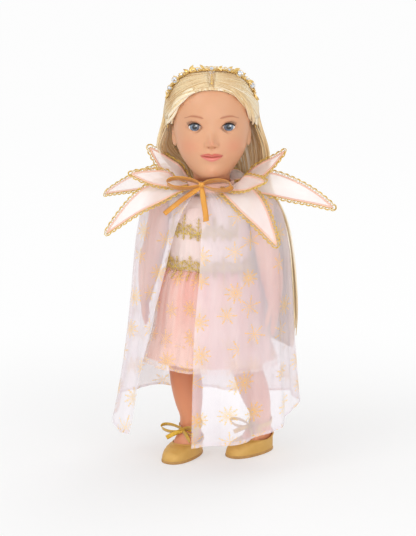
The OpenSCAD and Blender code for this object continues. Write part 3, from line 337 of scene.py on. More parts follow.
def newFinish(name, rough, **sockets):
    mat = bpy.data.materials.new(name)
    mat.use_nodes = True
    tree = mat.node_tree
    shader = tree.nodes["Principled BSDF"]
    shader.inputs["Roughness"].default_value = rough
    for key, value in sockets.items():
        shader.inputs[key.replace("_", " ")].default_value = value
    return mat, shader, tree


def mottled(name, dark, light, scale, rough, bumpScale, bumpDepth, roughSpread=0.0, **sockets):
    # two tones in soft clouds, with a fine grain
    mat, shader, tree = newFinish(name, rough, **sockets)
    place = onObject(tree)
    cloud = noise(place, scale, 4.0)
    feed(shader, "Base Color", ramp(cloud, [(0.3, dark), (0.7, light)]))
    addBump(shader, noise(place, bumpScale, 3.0), 0.5, bumpDepth)
    if roughSpread:
        feed(shader, "Roughness", ranged(cloud, 0, 1, (rough - roughSpread, rough + roughSpread)))
    return mat


def threads(uv, pitch):  # over-and-under threads in both directions of the cloth
    warp, weft = ((way * (2 * pi / pitch)).calc("SINE") for way in split(uv)[:2])
    return warp * weft * 0.5 + 0.5


def starMask(uv, pitch):
    # one small star in each jittered cell of the cloth: six or ten rays, with barbs and with dots at the tips
    tree = uv.tree
    spot = wired(tree, "VectorMath", {0: uv, "Scale": 1 / pitch}, operation="SCALE")
    cell = node(tree, "TexVoronoi", {"Vector": spot, "Scale": 1.0, "Randomness": 0.42},
                voronoi_dimensions="2D").outputs
    local = wired(tree, "VectorMath", {0: spot, 1: Wire(cell["Position"], tree)}, operation="SUBTRACT")
    x, y, _ = split(local)
    spin, kind, size = split(Wire(cell["Color"], tree), "SeparateColor")
    r = wired(tree, "VectorMath", {0: local}, "Value", operation="LENGTH")
    rays = (kind > 0.45) * 4.0 + 6.0
    reach = size * 0.10 + 0.25
    half = (y.calc("ARCTAN2", x) + spin) * (rays * 0.5)
    spread = (r * 2.0).calc("DIVIDE", rays)
    offRay = spread * half.calc("SINE").calc("ABSOLUTE")
    between = spread * half.calc("COSINE").calc("ABSOLUTE")
    ray = (offRay < 0.0095) * ((r < reach) * (r > rays * 0.003))
    slant = reach * 0.62 - (r - offRay * 1.1)
    barb = (slant.calc("ABSOLUTE") < 0.012) * (offRay < 0.034)
    inner = (between < 0.007) * r.calc("COMPARE", reach * 0.42, 0.05)
    tipOff = r - reach * 0.94
    dot = (tipOff * tipOff + offRay * offRay).calc("SQRT") < 0.021
    return ray.calc("MAXIMUM", inner).calc("MAXIMUM", barb.calc("MAXIMUM", dot))


def sheerCloth(name, light, shade, cover, starTone=None, starCover=0.8, pitch=0.03, sheen=0.3):
    # thin woven cloth: open between its threads, with printed stars where asked
    mat, shader, tree = newFinish(name, 0.55, Sheen_Weight=sheen, Sheen_Roughness=0.4)
    place, uv = onObject(tree), onCloth(tree)
    weave = threads(uv, 0.0011)
    body = ramp(noise(place, 26.0), [(0.3, shade), (0.7, light)])
    solid = weave * 0.12 + (cover - 0.06)
    if starTone:
        mask = starMask(uv, pitch)
        body = overlaid(mask, body, starTone)
        solid = solid.calc("MAXIMUM", mask * starCover)
    feed(shader, "Base Color", body)
    feed(shader, "Alpha", solid)
    addBump(shader, weave, 0.2, 0.0002)
    return mat


def wovenCloth(name, light, shade, pitch, rough=0.6, sheen=0.4, gatherShade=None, **sockets):
    mat, shader, tree = newFinish(name, rough, Sheen_Weight=sheen, **sockets)
    place, uv = onObject(tree), onCloth(tree)
    weave = threads(uv, pitch)
    body = ramp(weave * 0.25 + noise(place, 40.0, 3.0) * 0.75, [(0.25, shade), (0.7, light)])
    if gatherShade:  # painted shade: deeper coral between the gathers below the waist
        tall = wired(uv.tree, "VectorMath", {0: uv, 1: (95, 6, 1)}, operation="MULTIPLY")
        # the crease mask places painted shade in the folds between the gathers
        crease = ranged(noise(tall, 1.0), 0.36, 0.58, (0.2, 1.0))
        body = overlaid(ranged(split(place)[2], 0.135, 0.228) * crease, body, gatherShade)
    feed(shader, "Base Color", body)
    addBump(shader, weave, 0.35, pitch * 0.3)
    return mat


def strandFinish(name, low, mid, high):  # fine lengthwise strands in three tones, run along v of the UV map
    mat, shader, tree = newFinish(name, 0.3, Sheen_Weight=0.15)
    uv = onCloth(tree)
    fine, locks = (noise(wired(uv.tree, "Mapping", {0: uv, "Scale": drawn}), 1.0)
                   for drawn in ((1400.0, 22.0, 1.0), (190.0, 7.0, 1.0)))
    feed(shader, "Base Color", ramp(fine * 0.4 + locks * 0.6, [(0.4, low), (0.5, mid), (0.6, high)]))
    addBump(shader, fine, 0.35, 0.0004)
    return mat


def paintedFinish(name, rough, **sockets):  # colour comes from the piece's own tint
    mat, shader, tree = newFinish(name, rough, **sockets)
    place = onObject(tree)
    tint = wired(place.tree, "Attribute", out="Color", attribute_name="tint")
    value = noise(place, 60.0, 3.0) * 0.06 + 0.97
    feed(shader, "Base Color", wired(place.tree, "HueSaturation", {"Value": value, "Color": tint}))
    addBump(shader, noise(place, 900.0), 0.15, 0.0001)
    return mat


vinylDepth = dict(Subsurface_Weight=0.12, Subsurface_Scale=0.004, Subsurface_Radius=(1.0, 0.4, 0.2))
skinVinyl = paintedFinish("skinVinyl", 0.42, **vinylDepth)
hairFibre = strandFinish("hairFibre", (200, 157, 98), (241, 219, 175), (255, 250, 234))
eyeGloss = paintedFinish("eyeGloss", 0.08, Coat_Weight=0.6)
lashBlack = mottled("lashBlack", (28, 20, 18), (48, 36, 30), 300, 0.5, 900, 0.0001)
gold = mottled("paleGold", (194, 150, 72), (246, 214, 138), 260, 0.28, 700, 0.0002, 0.06, Metallic=0.75)
goldThread = mottled("goldThread", (200, 160, 62), (240, 206, 116), 500, 0.42, 1600, 0.0003, 0.08,
                     Metallic=0.35)
laceThread = mottled("laceThread", (186, 152, 62), (244, 218, 136), 400, 0.5, 1500, 0.0003, 0.08, Metallic=0.2)
stone = mottled("clearStone", (128, 138, 156), (250, 252, 255), 520, 0.05, 90, 0.0004, Metallic=0.3,
                Coat_Weight=0.9)
steel = mottled("steelWire", (150, 152, 156), (190, 192, 196), 120, 0.3, 600, 0.0001, 0.06, Metallic=1.0)
plastic = mottled("ivoryPlastic", (232, 224, 206), (240, 233, 218), 90, 0.4, 800, 0.0001, 0.05)
soleTan = mottled("soleTan", (176, 132, 74), (198, 154, 92), 150, 0.7, 700, 0.0003, 0.06)
slipperGold = mottled("slipperGold", (208, 162, 82), (216, 172, 94), 90, 0.5, 1300, 0.0004, 0.07, Metallic=0.15)
bowSatin = wovenCloth("bowSatin", (226, 162, 58), (190, 118, 28), 0.0009, 0.24, 0.5, Metallic=0.3)
ankleSatin = wovenCloth("ankleSatin", (222, 178, 44), (192, 146, 22), 0.0009, 0.26, 0.4, Metallic=0.25)
bodiceCloth = wovenCloth("bodiceCloth", (240, 222, 216), (234, 206, 200), 0.0012)
# (232, 114, 78) is the painted shade between the gathers at the waist
liningSatin = wovenCloth("liningSatin", (252, 220, 209), (247, 203, 189), 0.001, 0.5, 0.4, (232, 114, 78))
bodyCloth = wovenCloth("bodyCloth", (246, 230, 224), (240, 218, 212), 0.0014, 0.85, 0.2)
collarSatin = wovenCloth("collarSatin", (246, 206, 188), (238, 184, 162), 0.001, 0.45)
petalSheer = sheerCloth("petalSheer", (254, 246, 243), (250, 232, 227), 0.72, sheen=0.4)
capeSheer = sheerCloth("capeSheer", (250, 241, 246), (242, 230, 238), 0.46, (244, 200, 118), 0.74, 0.036)
tulleSheer = sheerCloth("tulleSheer", (253, 236, 231), (250, 222, 214), 0.34, (242, 196, 108), 0.74, 0.032)
netSheer = sheerCloth("netSheer", (246, 230, 214), (240, 220, 198), 0.1)
limbVinyl = mottled("limbVinyl", (218, 152, 116), (228, 168, 132), 22, 0.42, 900, 0.0001, 0.03, **vinylDepth)
print("finishes made")

# floor, light and camera

view = Sizes(azimuth=20.0, elevation=12.0, distance=2200.0, scale=1.146, imageH=536, right=-3.4, up=220.0,
             sensor=36, farEnd=80)
studio = Sizes(floorHalf=24000, chalk=0.93, whiteFrom=0.04, whiteTo=0.7, white=(0.4, 0.95), sky=0.64,
               aimZ=240.0, lamps=[["keyLamp", (-900, -1500, 1500), 1.1, 10.5],
                                  ["fillLamp", (1500, -1100, 900), 1.2, 6.5],
                                  ["frontLamp", (620, -1900, 620), 1.0, 7.5],
                                  ["backLamp", (300, 1500, 1500), 1.0, 7.0]])


def seenBy(tree):  # 1 for rays that look at the background, 0 for light that falls on the object
    ways = node(tree, "LightPath").outputs
    direct, glossy, passing = (Wire(ways["Is %s Ray" % w], tree) for w in ("Camera", "Glossy", "Transmission"))
    return direct.calc("MAXIMUM", glossy.calc("MAXIMUM", passing))


def setCamera():
    az, el = radians(view.azimuth), radians(view.elevation)
    ahead = array([-sin(az) * cos(el), cos(az) * cos(el), -sin(el)])
    aim = array([cos(az), sin(az), 0]) * view.right + array([0, 0, view.up / cos(el)])
    data = bpy.data.cameras.new("camera")
    data.lens = view.sensor * view.distance / (view.imageH * view.scale)
    data.clip_end = view.farEnd
    cam = bpy.data.objects.new("camera", data)
    cam.location = (aim - ahead * view.distance) * mm
    cam.rotation_euler = (pi / 2 - el, 0, az)
    bpy.context.scene.collection.objects.link(cam)
    bpy.context.scene.camera = cam


def setStage():
    s = linspace(-studio.floorHalf, studio.floorHalf, 3)
    mat = bpy.data.materials.new("paleFloor")
    piece("floor", surface(stack(s[None], s[:, None], 0 * s[None])), mat)
    mat.use_nodes = True
    tree = mat.node_tree
    tree.nodes.clear()
    flatWhite = wired(tree, "Emission", {"Color": (1, 1, 1, 1), "Strength": 1.0})
    chalk = wired(tree, "BsdfDiffuse", {"Color": (studio.chalk,) * 3 + (1,)})
    # the floor keeps the object's soft shadow near the feet and turns to plain white further out
    far = wired(tree, "VectorMath", {0: onObject(tree)}, "Value", operation="LENGTH")
    share = ranged(far, studio.whiteFrom, studio.whiteTo, studio.white, interpolation_type="SMOOTHSTEP")
    both = wired(tree, "MixShader", {0: seenBy(tree) * share, 1: chalk, 2: flatWhite})
    node(tree, "OutputMaterial", {0: both})
    world = bpy.data.worlds.new("studio")
    bpy.context.scene.world = world
    world.use_nodes = True
    back = world.node_tree.nodes["Background"]
    back.inputs[0].default_value = (1, 1, 1, 1)
    feed(back, 1, seenBy(world.node_tree) * (1 - studio.sky) + studio.sky)
    for name, place, size, energy in studio.lamps:
        data = bpy.data.lights.new(name, "AREA")
        data.size, data.energy = size, energy
        lamp = bpy.data.objects.new(name, data)
        x, y, z = array([0, 0, studio.aimZ]) - array(place)
        lamp.rotation_euler = (pi / 2 + np.arctan2(z, hypot(x, y)), 0, np.arctan2(-x, y))
        lamp.location = array(place) * mm
        bpy.context.scene.collection.objects.link(lamp)
    bpy.context.scene.view_settings.view_transform = "Standard"


setCamera()
setStage()
print("stage set")

# head: rings of half width, front depth and back depth by height, with the face pressed into the front

head = Sizes(chin=335.0, high=113.5, halfW=43.5, front=48.2, back=51.5, neckR=20.5, neckLow=313.6, turn=20.0,
             setBack=2.0, eyeX=18.9, eyeY=-31.8, eyeZ=392.66, eyeR=9.5, lidR=10.35, openW=14.6, openH=9.0,
             mouthZ=361.0, mouthW=13.0, earX=41.0, earY=3.0, earZ=377.5, earW=7.0, earH=13.5,
             skin=(216, 161, 124), blush=(222, 138, 110), lip=(206, 104, 94), lipLow=(232, 142, 130),
             # crease is the tone of painted shade: in the lid crease, in the nose wing folds and under the chin
             brow=(166, 96, 64), crease=(188, 118, 86), liner=(44, 30, 26), browZ=403.2,
             browFrom=8.0, browTo=30.5, chinShade=338.0, shadeFade=7.0, shadeTone=(0.8, 0.66, 0.58),
             nostril=(3.3, 370.9, 1.4, 0.9), cheekSide=(34, 370, 10, 11), cheekBlush=(25, 371, 11, 9),
             noseBlush=(0, 377, 5, 4), chinBlush=(0, 341, 9, 5), wingFold=(8.2, 373.5, 0.9, 2.6))
headRings = [
    [-0.005, 0.478, 0.685, 0.43], [0.018, 0.494, 0.83, 0.447], [0.053, 0.57, 0.913, 0.476],
    [0.106, 0.67, 0.965, 0.524], [0.159, 0.76, 0.985, 0.592], [0.212, 0.835, 0.996, 0.67],
    [0.273, 0.9, 1, 0.757], [0.344, 0.945, 1, 0.845], [0.423, 0.974, 0.996, 0.913],
    [0.511, 0.993, 0.981, 0.971], [0.6, 1, 0.988, 1], [0.688, 0.993, 0.98, 1],
    [0.775, 0.954, 0.93, 0.961], [0.855, 0.874, 0.84, 0.883], [0.916, 0.759, 0.716, 0.757],
    [0.96, 0.61, 0.56, 0.602], [0.987, 0.414, 0.373, 0.408], [1, 0.184, 0.166, 0.175]]


def headFrame(p):
    return turned(p, head.turn, head.setBack)


def headReach(z):  # half width, front and back depth at a height
    side, front, back = through((z - head.chin) / head.high, headRings)
    low = smooth((z - (head.chin - 8)) / 8)
    neck = head.neckR
    return (mixed(neck, side * head.halfW, low), mixed(neck, front * head.front, low),
            mixed(neck, back * head.back, low))


def almond(ex, ez, w, h):  # distance inside an almond of two arcs, negative outside
    r = (w * w + h * h) / (4 * h)
    off = r - h / 2
    return r - maximum(hypot(ex, ez + off), hypot(ex, ez - off))


def lipShape(x, z):  # swell of the lips, their painted share and the line between them
    # upper lip with a bow, lower lip as one roll; both end at the corners
    zm, half = head.mouthZ, head.mouthW
    t = clip(1 - (x / half) ** 2, 0, 1)
    line = zm + 0.9 * (x / half) ** 2 - 0.5 * bump(x, 0, 0, 0, 3.0, 1)
    top = line + 3.9 * t ** 0.9 * (1 - 0.24 * bump(x, 0, 0, 0, 1.9, 1))
    low = line - 5.3 * t ** 0.85
    upper = clip((z - line) / maximum(top - line, 0.01), 0, 1) * (z > line)
    lower = clip((line - z) / maximum(line - low, 0.01), 0, 1) * (z <= line)
    inside = (t > 0.02) * where(z > line, upper < 1, lower < 1)
    swell = hump(where(z > line, upper, lower) * 0.9 + 0.1)
    edge = where(z > line, top - z, z - low)
    lips, groove = smooth((edge + 0.3) / 0.8) * (t > 0.02), bump(0, z - line, 0, 0, 1, 0.55) * t ** 0.3
    return inside * swell * sqrt(t), lips, groove


faceForms = [  # height, then the middle and the spread across and up; the same on both sides
    [2.1, 5.3, 374.0, 2.4, 2.5], [-1.4, 3.2, 370.9, 1.6, 1.0],  # wings of the nose, nostrils
    [2.4, 24, 371, 12, 12], [1.2, 17, 404, 12, 4.5],  # cheeks, brows
    [2.4, 0, 361, 15, 10], [-0.9, 13.2, 361.5, 2.2, 2.6],  # round behind the mouth, its corners
    [3.0, 0, 342.5, 9, 6], [-1.3, 0, 351.8, 9, 2.8], [-0.6, 0, 367.6, 1.4, 2.4]]  # chin, its dip, lip groove
noseHeight = [[366, 0], [369, 0.7], [371.5, 3.6], [374.5, 7.0], [378, 7.6], [382, 5.3], [388, 2.5], [395, 1.1],
              [404, 0]]
noseWidth = [[366, 5.6], [374, 4.8], [378, 4.6], [384, 4.8], [404, 8]]


def faceOut(x, z):  # height of the features in front of the plain rings
    swell, _, groove = lipShape(x, z)
    out = through(z, noseHeight) * exp(-(x / through(z, noseWidth)) ** 2) + 2.6 * swell - 1.3 * groove
    for height, *place in faceForms:
        out += height * bump(np.abs(x), z, *place)
    return out


def paintFace(x, z, front):  # vinyl colour with blush, lips, brows and lid lines, and painted shade in the lid crease, the nose wings, the nostrils and the line between the lips
    ax = np.abs(x)
    tint = np.broadcast_to(tone(*head.skin), x.shape + (3,)).copy()

    def lay(mask, which):
        nonlocal tint
        tint = tinted(tint, tone(*head[which]), clip(mask, 0, 1) * front)
    lay(0.42 * bump(ax, z, *head.cheekBlush), "blush")
    lay(0.35 * bump(x, z, *head.noseBlush) + 0.25 * bump(x, z, *head.chinBlush), "blush")
    ez = z - head.eyeZ
    inside = almond(ax - head.eyeX, ez, head.openW, head.openH)
    # painted shade in the crease above the upper lid
    lay(0.3 * bump(0, inside, 0, -2.0, 1, 1.2) * (ez > -2), "crease")
    lay(0.22 * bump(0, inside, 0, -0.5, 1, 0.7), "brow")
    lay(0.95 * bump(0, inside, 0, -0.1, 1, 0.45) * smooth((ez + 0.2) / 1.6), "liner")
    # painted shade: dark nostrils and nose wing folds, standing in for the shade in their hollows
    lay(0.9 * bump(ax, z, *head.nostril), "brow")
    lay(0.3 * bump(ax, z, *head.wingFold), "crease")
    _, lips, groove = lipShape(x, z)
    lay(0.9 * lips, "lip")
    lay(0.85 * lips * smooth((head.mouthZ - 0.6 - z) / 1.6), "lipLow")
    # painted shade in the moulded line between the lips
    lay(0.45 * groove * (lips > 0.2), "brow")
    arch = head.browZ + 1.9 * hump((ax - 9) / 22) - 1.2 * smooth((ax - 22) / 8)
    width = 1.25 * smooth((ax - head.browFrom) / 4) * (1 - 0.7 * smooth((ax - 18) / 11))
    brow = exp(-((z - arch) / maximum(width, 0.05)) ** 2)
    lay(0.8 * brow * (ax > head.browFrom) * (ax < head.browTo), "brow")
    return tint


def makeHead():
    cols, rows = 340, 270
    u = around(cols)
    a = (u - 0.55 * sin(u))[None]
    v = steps(rows)
    z = mixed(head.neckLow, head.chin + head.high, v + 0.06 * sin(2 * pi * v))
    side, front, back = headReach(z)
    c, s = cos(a), sin(a)
    x, y = side * s, -where(c > 0, front, back) * c
    near = smooth((c - 0.15) / 0.35)
    y = y - near * faceOut(x, z) * sqrt(clip(1 - (x / maximum(side, 1)) ** 2 * 0.6, 0.2, 1))
    x = x + near * np.sign(x) * 1.4 * bump(np.abs(x), z, *head.cheekSide)
    ex, ez = np.abs(x) - head.eyeX, z - head.eyeZ
    inside = almond(ex, ez, head.openW, head.openH)
    square = ex ** 2 + ez ** 2
    lid = head.eyeY - sqrt(clip(head.lidR ** 2 - square, 4, None))
    pit = head.eyeY - sqrt(clip((head.eyeR - 1.6) ** 2 - square, 1, None))
    y = mixed(y, lid, near * 0.95 * smooth(1 + inside / mixed(3.2, 1.8, smooth(-ex / 6))))
    y = mixed(y, pit, near * smooth((inside - 0.05) / 0.55))
    tint = paintFace(x, z, near)
    under = smooth((head.chinShade - z) / head.shadeFade) * (1 - 0.5 * near)
    tint = tinted(tint, tone(*head.crease) * array(head.shadeTone), 0.8 * under)
    parts = [surface(headFrame(stack(x, y, z)), wrap=True, highCap=True, tint=tint)]
    for sign in (-1, 1):  # ears: rounded leaf with a hollow
        p = around(40)[None]
        q = linspace(0.02, 1, 14)[:, None]
        ring = q * (1 + 0.12 * sin(p))
        hollow = 3.4 * smooth(q / 0.5) * (1 - smooth((q - 0.72) / 0.28)) + 0.6 * q
        fore, rise = ring * cos(p), ring * sin(p)
        ear = stack(sign * (head.earX + 0.75 * hollow + 1.6 * fore), head.earY + head.earW * fore + 1.5 * rise,
                    head.earZ + head.earH * rise)
        parts.append(surface(headFrame(ear), wrap=True, lowCap=True, flip=sign < 0,
                             tint=np.broadcast_to(tone(*head.skin), ear.shape).copy()))
    piece("headVinyl", parts, skinVinyl, "head", ["head_shell"], "skin_vinyl")


makeHead()
print("head made")

# eyes: balls with a painted iris in front and a lid over the top, lashes on the lid edge

eye = Sizes(iris=5.2, pupil=2.4, white=(236, 231, 227), ring=(26, 30, 38), mid=(82, 96, 116),
            light=(130, 148, 168), lidAt=25.0, lashes=27, lashL=3.3)


def makeEyes():
    eyeParts, lashParts = {}, []
    for sign, name in ((-1, "right_eye"), (1, "left_eye")):
        f = linspace(0, pi, 70)[:, None]  # angle from the gaze line
        g = around(64)[None]
        r = head.eyeR
        bulge = 1 + 0.035 * exp(-(degrees(f) / 26) ** 2)
        p = stack(r * sin(f) * cos(g), -r * cos(f) * bulge, r * sin(f) * sin(g))
        off = r * sin(f) + 0 * g
        white, rim, mid, light = (tone(*eye[k]) for k in ("white", "ring", "mid", "light"))
        front = (cos(f) + 0 * g > 0)
        rays = 0.5 + 0.5 * sin(g * 23 + 4 * sin(g * 5))
        tint = np.broadcast_to(white, p.shape).copy()
        iris = tinted(mid, light, rays * smooth((off - 2.5) / 1.5) * (1 - smooth((off - 4.2) / 1.2)))
        iris = tinted(iris, rim, smooth((off - 4.7) / 0.8))
        tint = tinted(tint, iris, front * (1 - smooth((off - eye.iris + 0.25) / 0.5)))
        tint = tinted(tint, array([0.004, 0.004, 0.005]), front * (1 - smooth((off - eye.pupil) / 0.4)))
        rise = degrees(np.arctan2(p[..., 2], -p[..., 1]))
        lid = smooth((rise - eye.lidAt) / 1.5) * (rise < 175)
        tint = tinted(tint, tone(*head.skin), lid)
        tint = tinted(tint, tone(30, 22, 20), bump(0, rise, 0, eye.lidAt - 2.5, 1, 5.5))
        # painted shade: the upper part of the eyeball is darkened where the upper lid shades it
        tint = tint * mixed(1, 0.72, smooth((rise - 8) / 14) * (rise < 175))[..., None]
        glint = 0.95 * bump(p[..., 0], p[..., 2], 1.8, 1.6, 0.8, 0.8) * front
        tint = tinted(tint, np.ones(3), glint)
        centre = array([sign * head.eyeX, head.eyeY, head.eyeZ])
        eyeParts[name] = skin(headFrame(p + centre), flip=True, tint=tint)
        s = linspace(-1, 1, eye.lashes)
        lift = radians(eye.lidAt - 3 - 13 * s * s)
        for k in range(eye.lashes):
            swing = radians(38 * s[k])
            t = linspace(0, 1, 6)
            reach = r + 0.1 + eye.lashL * (0.75 + 0.25 * abs(s[k])) * t
            up = lift[k] + 0.30 * t * t
            path = stack(reach * sin(swing * (1 + 0.25 * t)) * cos(lift[k]), -reach * cos(up) * cos(swing),
                         reach * sin(up) * 0.98)
            lashParts.append(tube(headFrame(path + centre), 0.3 * (1 - 0.8 * t), 4))
    for name, part in eyeParts.items():
        piece(name.replace("_", "") + "Ball", part, eyeGloss, "eyes", [name], "eye")
    piece("lashes", lashParts, lashBlack, "eyes", slotName="eye")


makeEyes()
print("eyes made")

# hair: a cap of combed locks from the parting, and a long fall behind

hair = Sizes(thick=3.4, capCols=220, capRows=70, locks=124, lockR=2.5, fallCols=150, fallRows=160, fallT=7.0,
             topZ=393.05, length=268.0, capeSide=101.0, capeBack=76.0, strands=110, flow=64, flowR=3.4)
hairline = [[0, 0.865], [20, 0.85], [40, 0.79], [55, 0.705], [68, 0.6], [78, 0.535], [180, 0.515]]
fallRows = [
    [0, -95, 55, 0.475, 0.7, 0.6], [0.06, -94, 56, 0.545, 0.705, 0.75], [0.12, -90, 56, 0.605, 0.71, 0.9],
    [0.17, -74, 55, 0.634, 0.723, 1], [0.205, -60, 52, 0.645, 0.737, 1], [0.265, -52, 49, 0.663, 0.776, 1],
    [0.33, -46, 51, 0.733, 0.822, 1], [0.385, -42, 56, 0.84, 0.85, 1], [0.45, -39, 60, 0.91, 0.86, 1],
    [0.54, -36, 63, 0.955, 0.87, 1], [0.64, -33, 64, 0.975, 0.9, 1], [0.76, -28, 64, 0.99, 0.955, 1],
    [0.89, -20, 62, 1.005, 1.02, 0.9], [1, -8, 58, 1.025, 1.06, 0.6]]


def onScalp(a, share, off):  # point standing off the head at an angle from the front and a height share
    z = head.chin + head.high * share
    side, front, back = headReach(z)
    reach = where(cos(a) > 0, front, back)
    lift = off * smooth((share - 0.6) / 0.4)
    return stack((side + off) * sin(a), -(reach + off) * cos(a), z + lift)


def capSwell(a, share):  # fuller behind the headband
    turn = degrees(np.abs(halfTurn(a)))
    low = 6.5 * smooth((turn - 66) / 38) * (1 - smooth((share - 0.55) / 0.42))
    return low + 2.6 * smooth((turn - 100) / 60) * smooth((share - 0.7) / 0.25)


def makeCap():
    a = around(hair.capCols)[None]
    t = steps(hair.capRows)
    turn = degrees(np.abs(halfTurn(a)))
    line = through(turn, hairline)
    share = mixed(line, 0.9995, 1 - (1 - t) ** 1.5)
    groove = 0.3 * sin(a * 46 + 5 * t + 2 * sin(a * 7)) + 0.2 * sin(a * 83 + 9 * t)
    part = -1.6 * exp(-(halfTurn(a)) ** 2 / 0.006) * smooth(t * 3) * (cos(a) > 0)
    rim = 1 - smooth(t / 0.08)
    off = hair.thick + capSwell(a, share) + groove * (1 - t) - 2.4 * rim * (turn < 80) + part
    cap = [surface(headFrame(onScalp(a, share, off)), wrap=True, highCap=True)]
    # combed locks: each starts beside the parting and sweeps out and down to behind the ear
    n = hair.locks
    for sign in (-1, 1):
        for k in range(n // 2):
            w = k / (n // 2 - 1)
            s = linspace(0, 1, 15)
            begin = radians(2 + 9 * w + 2 * rng.random())
            shareA, shareB = mixed(0.872, 0.998, w ** 0.7), mixed(0.55, 0.53, w)
            end = radians(mixed(84, 176, w ** 1.2) + 4 * rng.random())
            angle = mixed(begin, end, s ** mixed(1.0, 0.85, w))
            drop = mixed(shareA, shareB, s ** mixed(1.5, 2.2, w))
            line = through(degrees(angle), hairline)
            drop = maximum(drop, line + 0.012)
            lift = hair.thick + capSwell(angle, drop) + 0.1 + 0.4 * rng.random()
            lift = lift + 0.3 * sin(s * 6 + 6 * rng.random())
            path = onScalp(sign * angle, drop, lift)
            radius = hair.lockR * (0.55 + 0.6 * rng.random()) * (0.3 + 0.7 * hump(s * 0.9 + 0.08))
            cap.append(tube(headFrame(path), radius, 6, flat=0.5, up=(0, 0, 1)))
        # twisted roll that frames the face from the temple to the ear
        s = linspace(0, 1, 80)
        angle = radians(mixed(28, 86, s))
        drop = through(degrees(angle), hairline) + 0.02
        centre = onScalp(sign * angle, drop, 3.6)
        outward = onScalp(sign * angle, drop, 5.2) - centre
        along = unit(np.gradient(centre, axis=0))
        cross = np.cross(along, unit(outward))
        for phase in (0, 2.09, 4.19):
            w = s * 6 + phase
            path = centre + 2.2 * (cos(w)[:, None] * unit(outward) + sin(w)[:, None] * cross)
            cap.append(tube(headFrame(path), 2.5 * (0.5 + 0.5 * hump(s * 0.9 + 0.1)), 7, up=(0, 0, 1)))
    piece("hairCap", cap, hairFibre, "head", ["hair_cap"], "hair")


def fallAt(s, w, out):  # point of the fall at a drop share, a share from right to left edge and a depth
    right, left, side, back, thick = through(s, fallRows)
    g = radians(mixed(right, left, w))
    turn = radians(head.turn * (1 - smooth(s / 0.28)))
    wide, deep = sin(g + turn) / (hair.capeSide * side), cos(g + turn) / (hair.capeBack * back)
    reach = 1 / sqrt(wide ** 2 + deep ** 2) + out * hair.fallT * thick
    tip = 0.12 * (1 - w) ** 2 * smooth(s * 2 - 1)
    return stack(reach * sin(g), head.setBack + reach * cos(g), hair.topZ - hair.length * (s - tip))


def makeFall():
    w = linspace(0, 1, hair.fallCols)[None]
    s = linspace(-0.03, 1, hair.fallRows)[:, None]
    wave = 0.16 * sin(w * 70 + 3 * sin(s * 5)) + 0.10 * sin(w * 143 + 4 * s) + 0.1 * sin(w * 31 + 7 * s)
    edge = 1 - 0.75 * (1 - smooth(w / 0.05)) - 0.75 * smooth((w - 0.95) / 0.05)
    end = 1 - 0.6 * smooth((s - 0.93) / 0.07)
    outer = fallAt(s, w, 0.5 + (0.4 + wave) * edge * end)
    inner = fallAt(s, w, 0.5 - 0.42 * edge * end + 0 * wave)
    ring = concatenate([outer, inner[:, ::-1]], 1)
    parts = [skin(ring, flip=True)]
    for k in range(hair.strands):  # loose strands on both faces
        q = linspace(0, 1, 20)
        at = rng.random()
        face = 0.92 if k % 2 else 0.02
        first, last = 0.3 * rng.random() ** 2, 0.9 + 0.1 * rng.random()
        across = clip(at + 0.012 * sin(q * 7 + 6 * rng.random()), 0, 1)
        path = fallAt(mixed(first, last, q), across, face + 0.06 * sin(q * 5 + k))
        parts.append(tube(path, 1.15 * (1 - 0.75 * q) * (0.5 + 0.5 * rng.random()), 4, up=(0, 1, 0.1)))
    right, left = through(array(0.03), fallRows)[:2]
    for k in range(hair.flow):  # broad locks that run from the crown over the cap's edge and down the back
        at = (k + 0.5 * rng.random()) / hair.flow
        q = linspace(0, 1, 22)
        angle = halfTurn(radians(180 - head.turn - mixed(right, left, at)))
        share = mixed(0.965, 0.535, q ** 1.2)
        swing = angle * mixed(0.97, 1.0, q)
        over = onScalp(swing, share, hair.thick + capSwell(swing, share) + 0.8)
        last = mixed(0.72, 0.99, rng.random() ** 0.5)
        down = fallAt(mixed(0.045, last, linspace(0, 1, 30)), at, 1.0 + 0.05 * rng.random())
        path = eased(concatenate([headFrame(over), down]))
        along = linspace(0, 1, len(path))
        taper = 0.08 + 0.92 * hump(clip(along, 0.02, 0.985)) ** 0.7
        thick = 0.55 * hair.flowR * (0.7 + 0.5 * rng.random()) * taper
        mid = path[len(path) // 2]
        parts.append(tube(path, thick, 7, flat=1.8, up=(head.setBack - mid[1], mid[0], 0.0)))
    # smooth layer under the broad locks that closes the step from the cap to the fall
    at, q = linspace(0, 1, 120)[None], steps(14)
    angle = halfTurn(radians(180 - head.turn - mixed(right, left, at)))
    share = mixed(0.68, 0.54, q) + 0 * at
    over = headFrame(onScalp(angle + 0 * q, share, hair.thick + capSwell(angle + 0 * q, share) + 0.2))
    down = fallAt(mixed(0.045, 0.16, q), at, 0.88)
    parts.append(surface(eased(concatenate([over, down])), flip=True))
    obj = piece("hairFall", parts, hairFibre, None, ["hair_length"], "hair")
    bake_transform(obj)


makeCap()
makeFall()
print("hair made")

# headband: filigree band with leaves, scrolls and ringed stones

band = Sizes(tilt=16.0, z=399.13, side=48.7, rise=55.77, square=0.74, leafL=9.0, leafW=4.6, stoneR=3.9,
             sprigs=46, sprigL=6.6, sprigW=3.2, wireR=0.62, weaveR=0.42, beads=6, beadR=0.85, lastBead=1.7,
             stones=[[0.2, 0.8], [0.27, 1], [0.33, 0.6], [0.44, 0.6], [0.5, 0.7], [0.58, 0.6], [0.655, 1],
                     [0.72, 0.65], [0.78, 0.9]],
             leaves=[[0.12, 1], [0.165, -1], [0.235, 1], [0.3, -1], [0.385, 1], [0.545, -1], [0.615, 1],
                     [0.69, -1], [0.75, 1], [0.83, -1], [0.875, 1]])


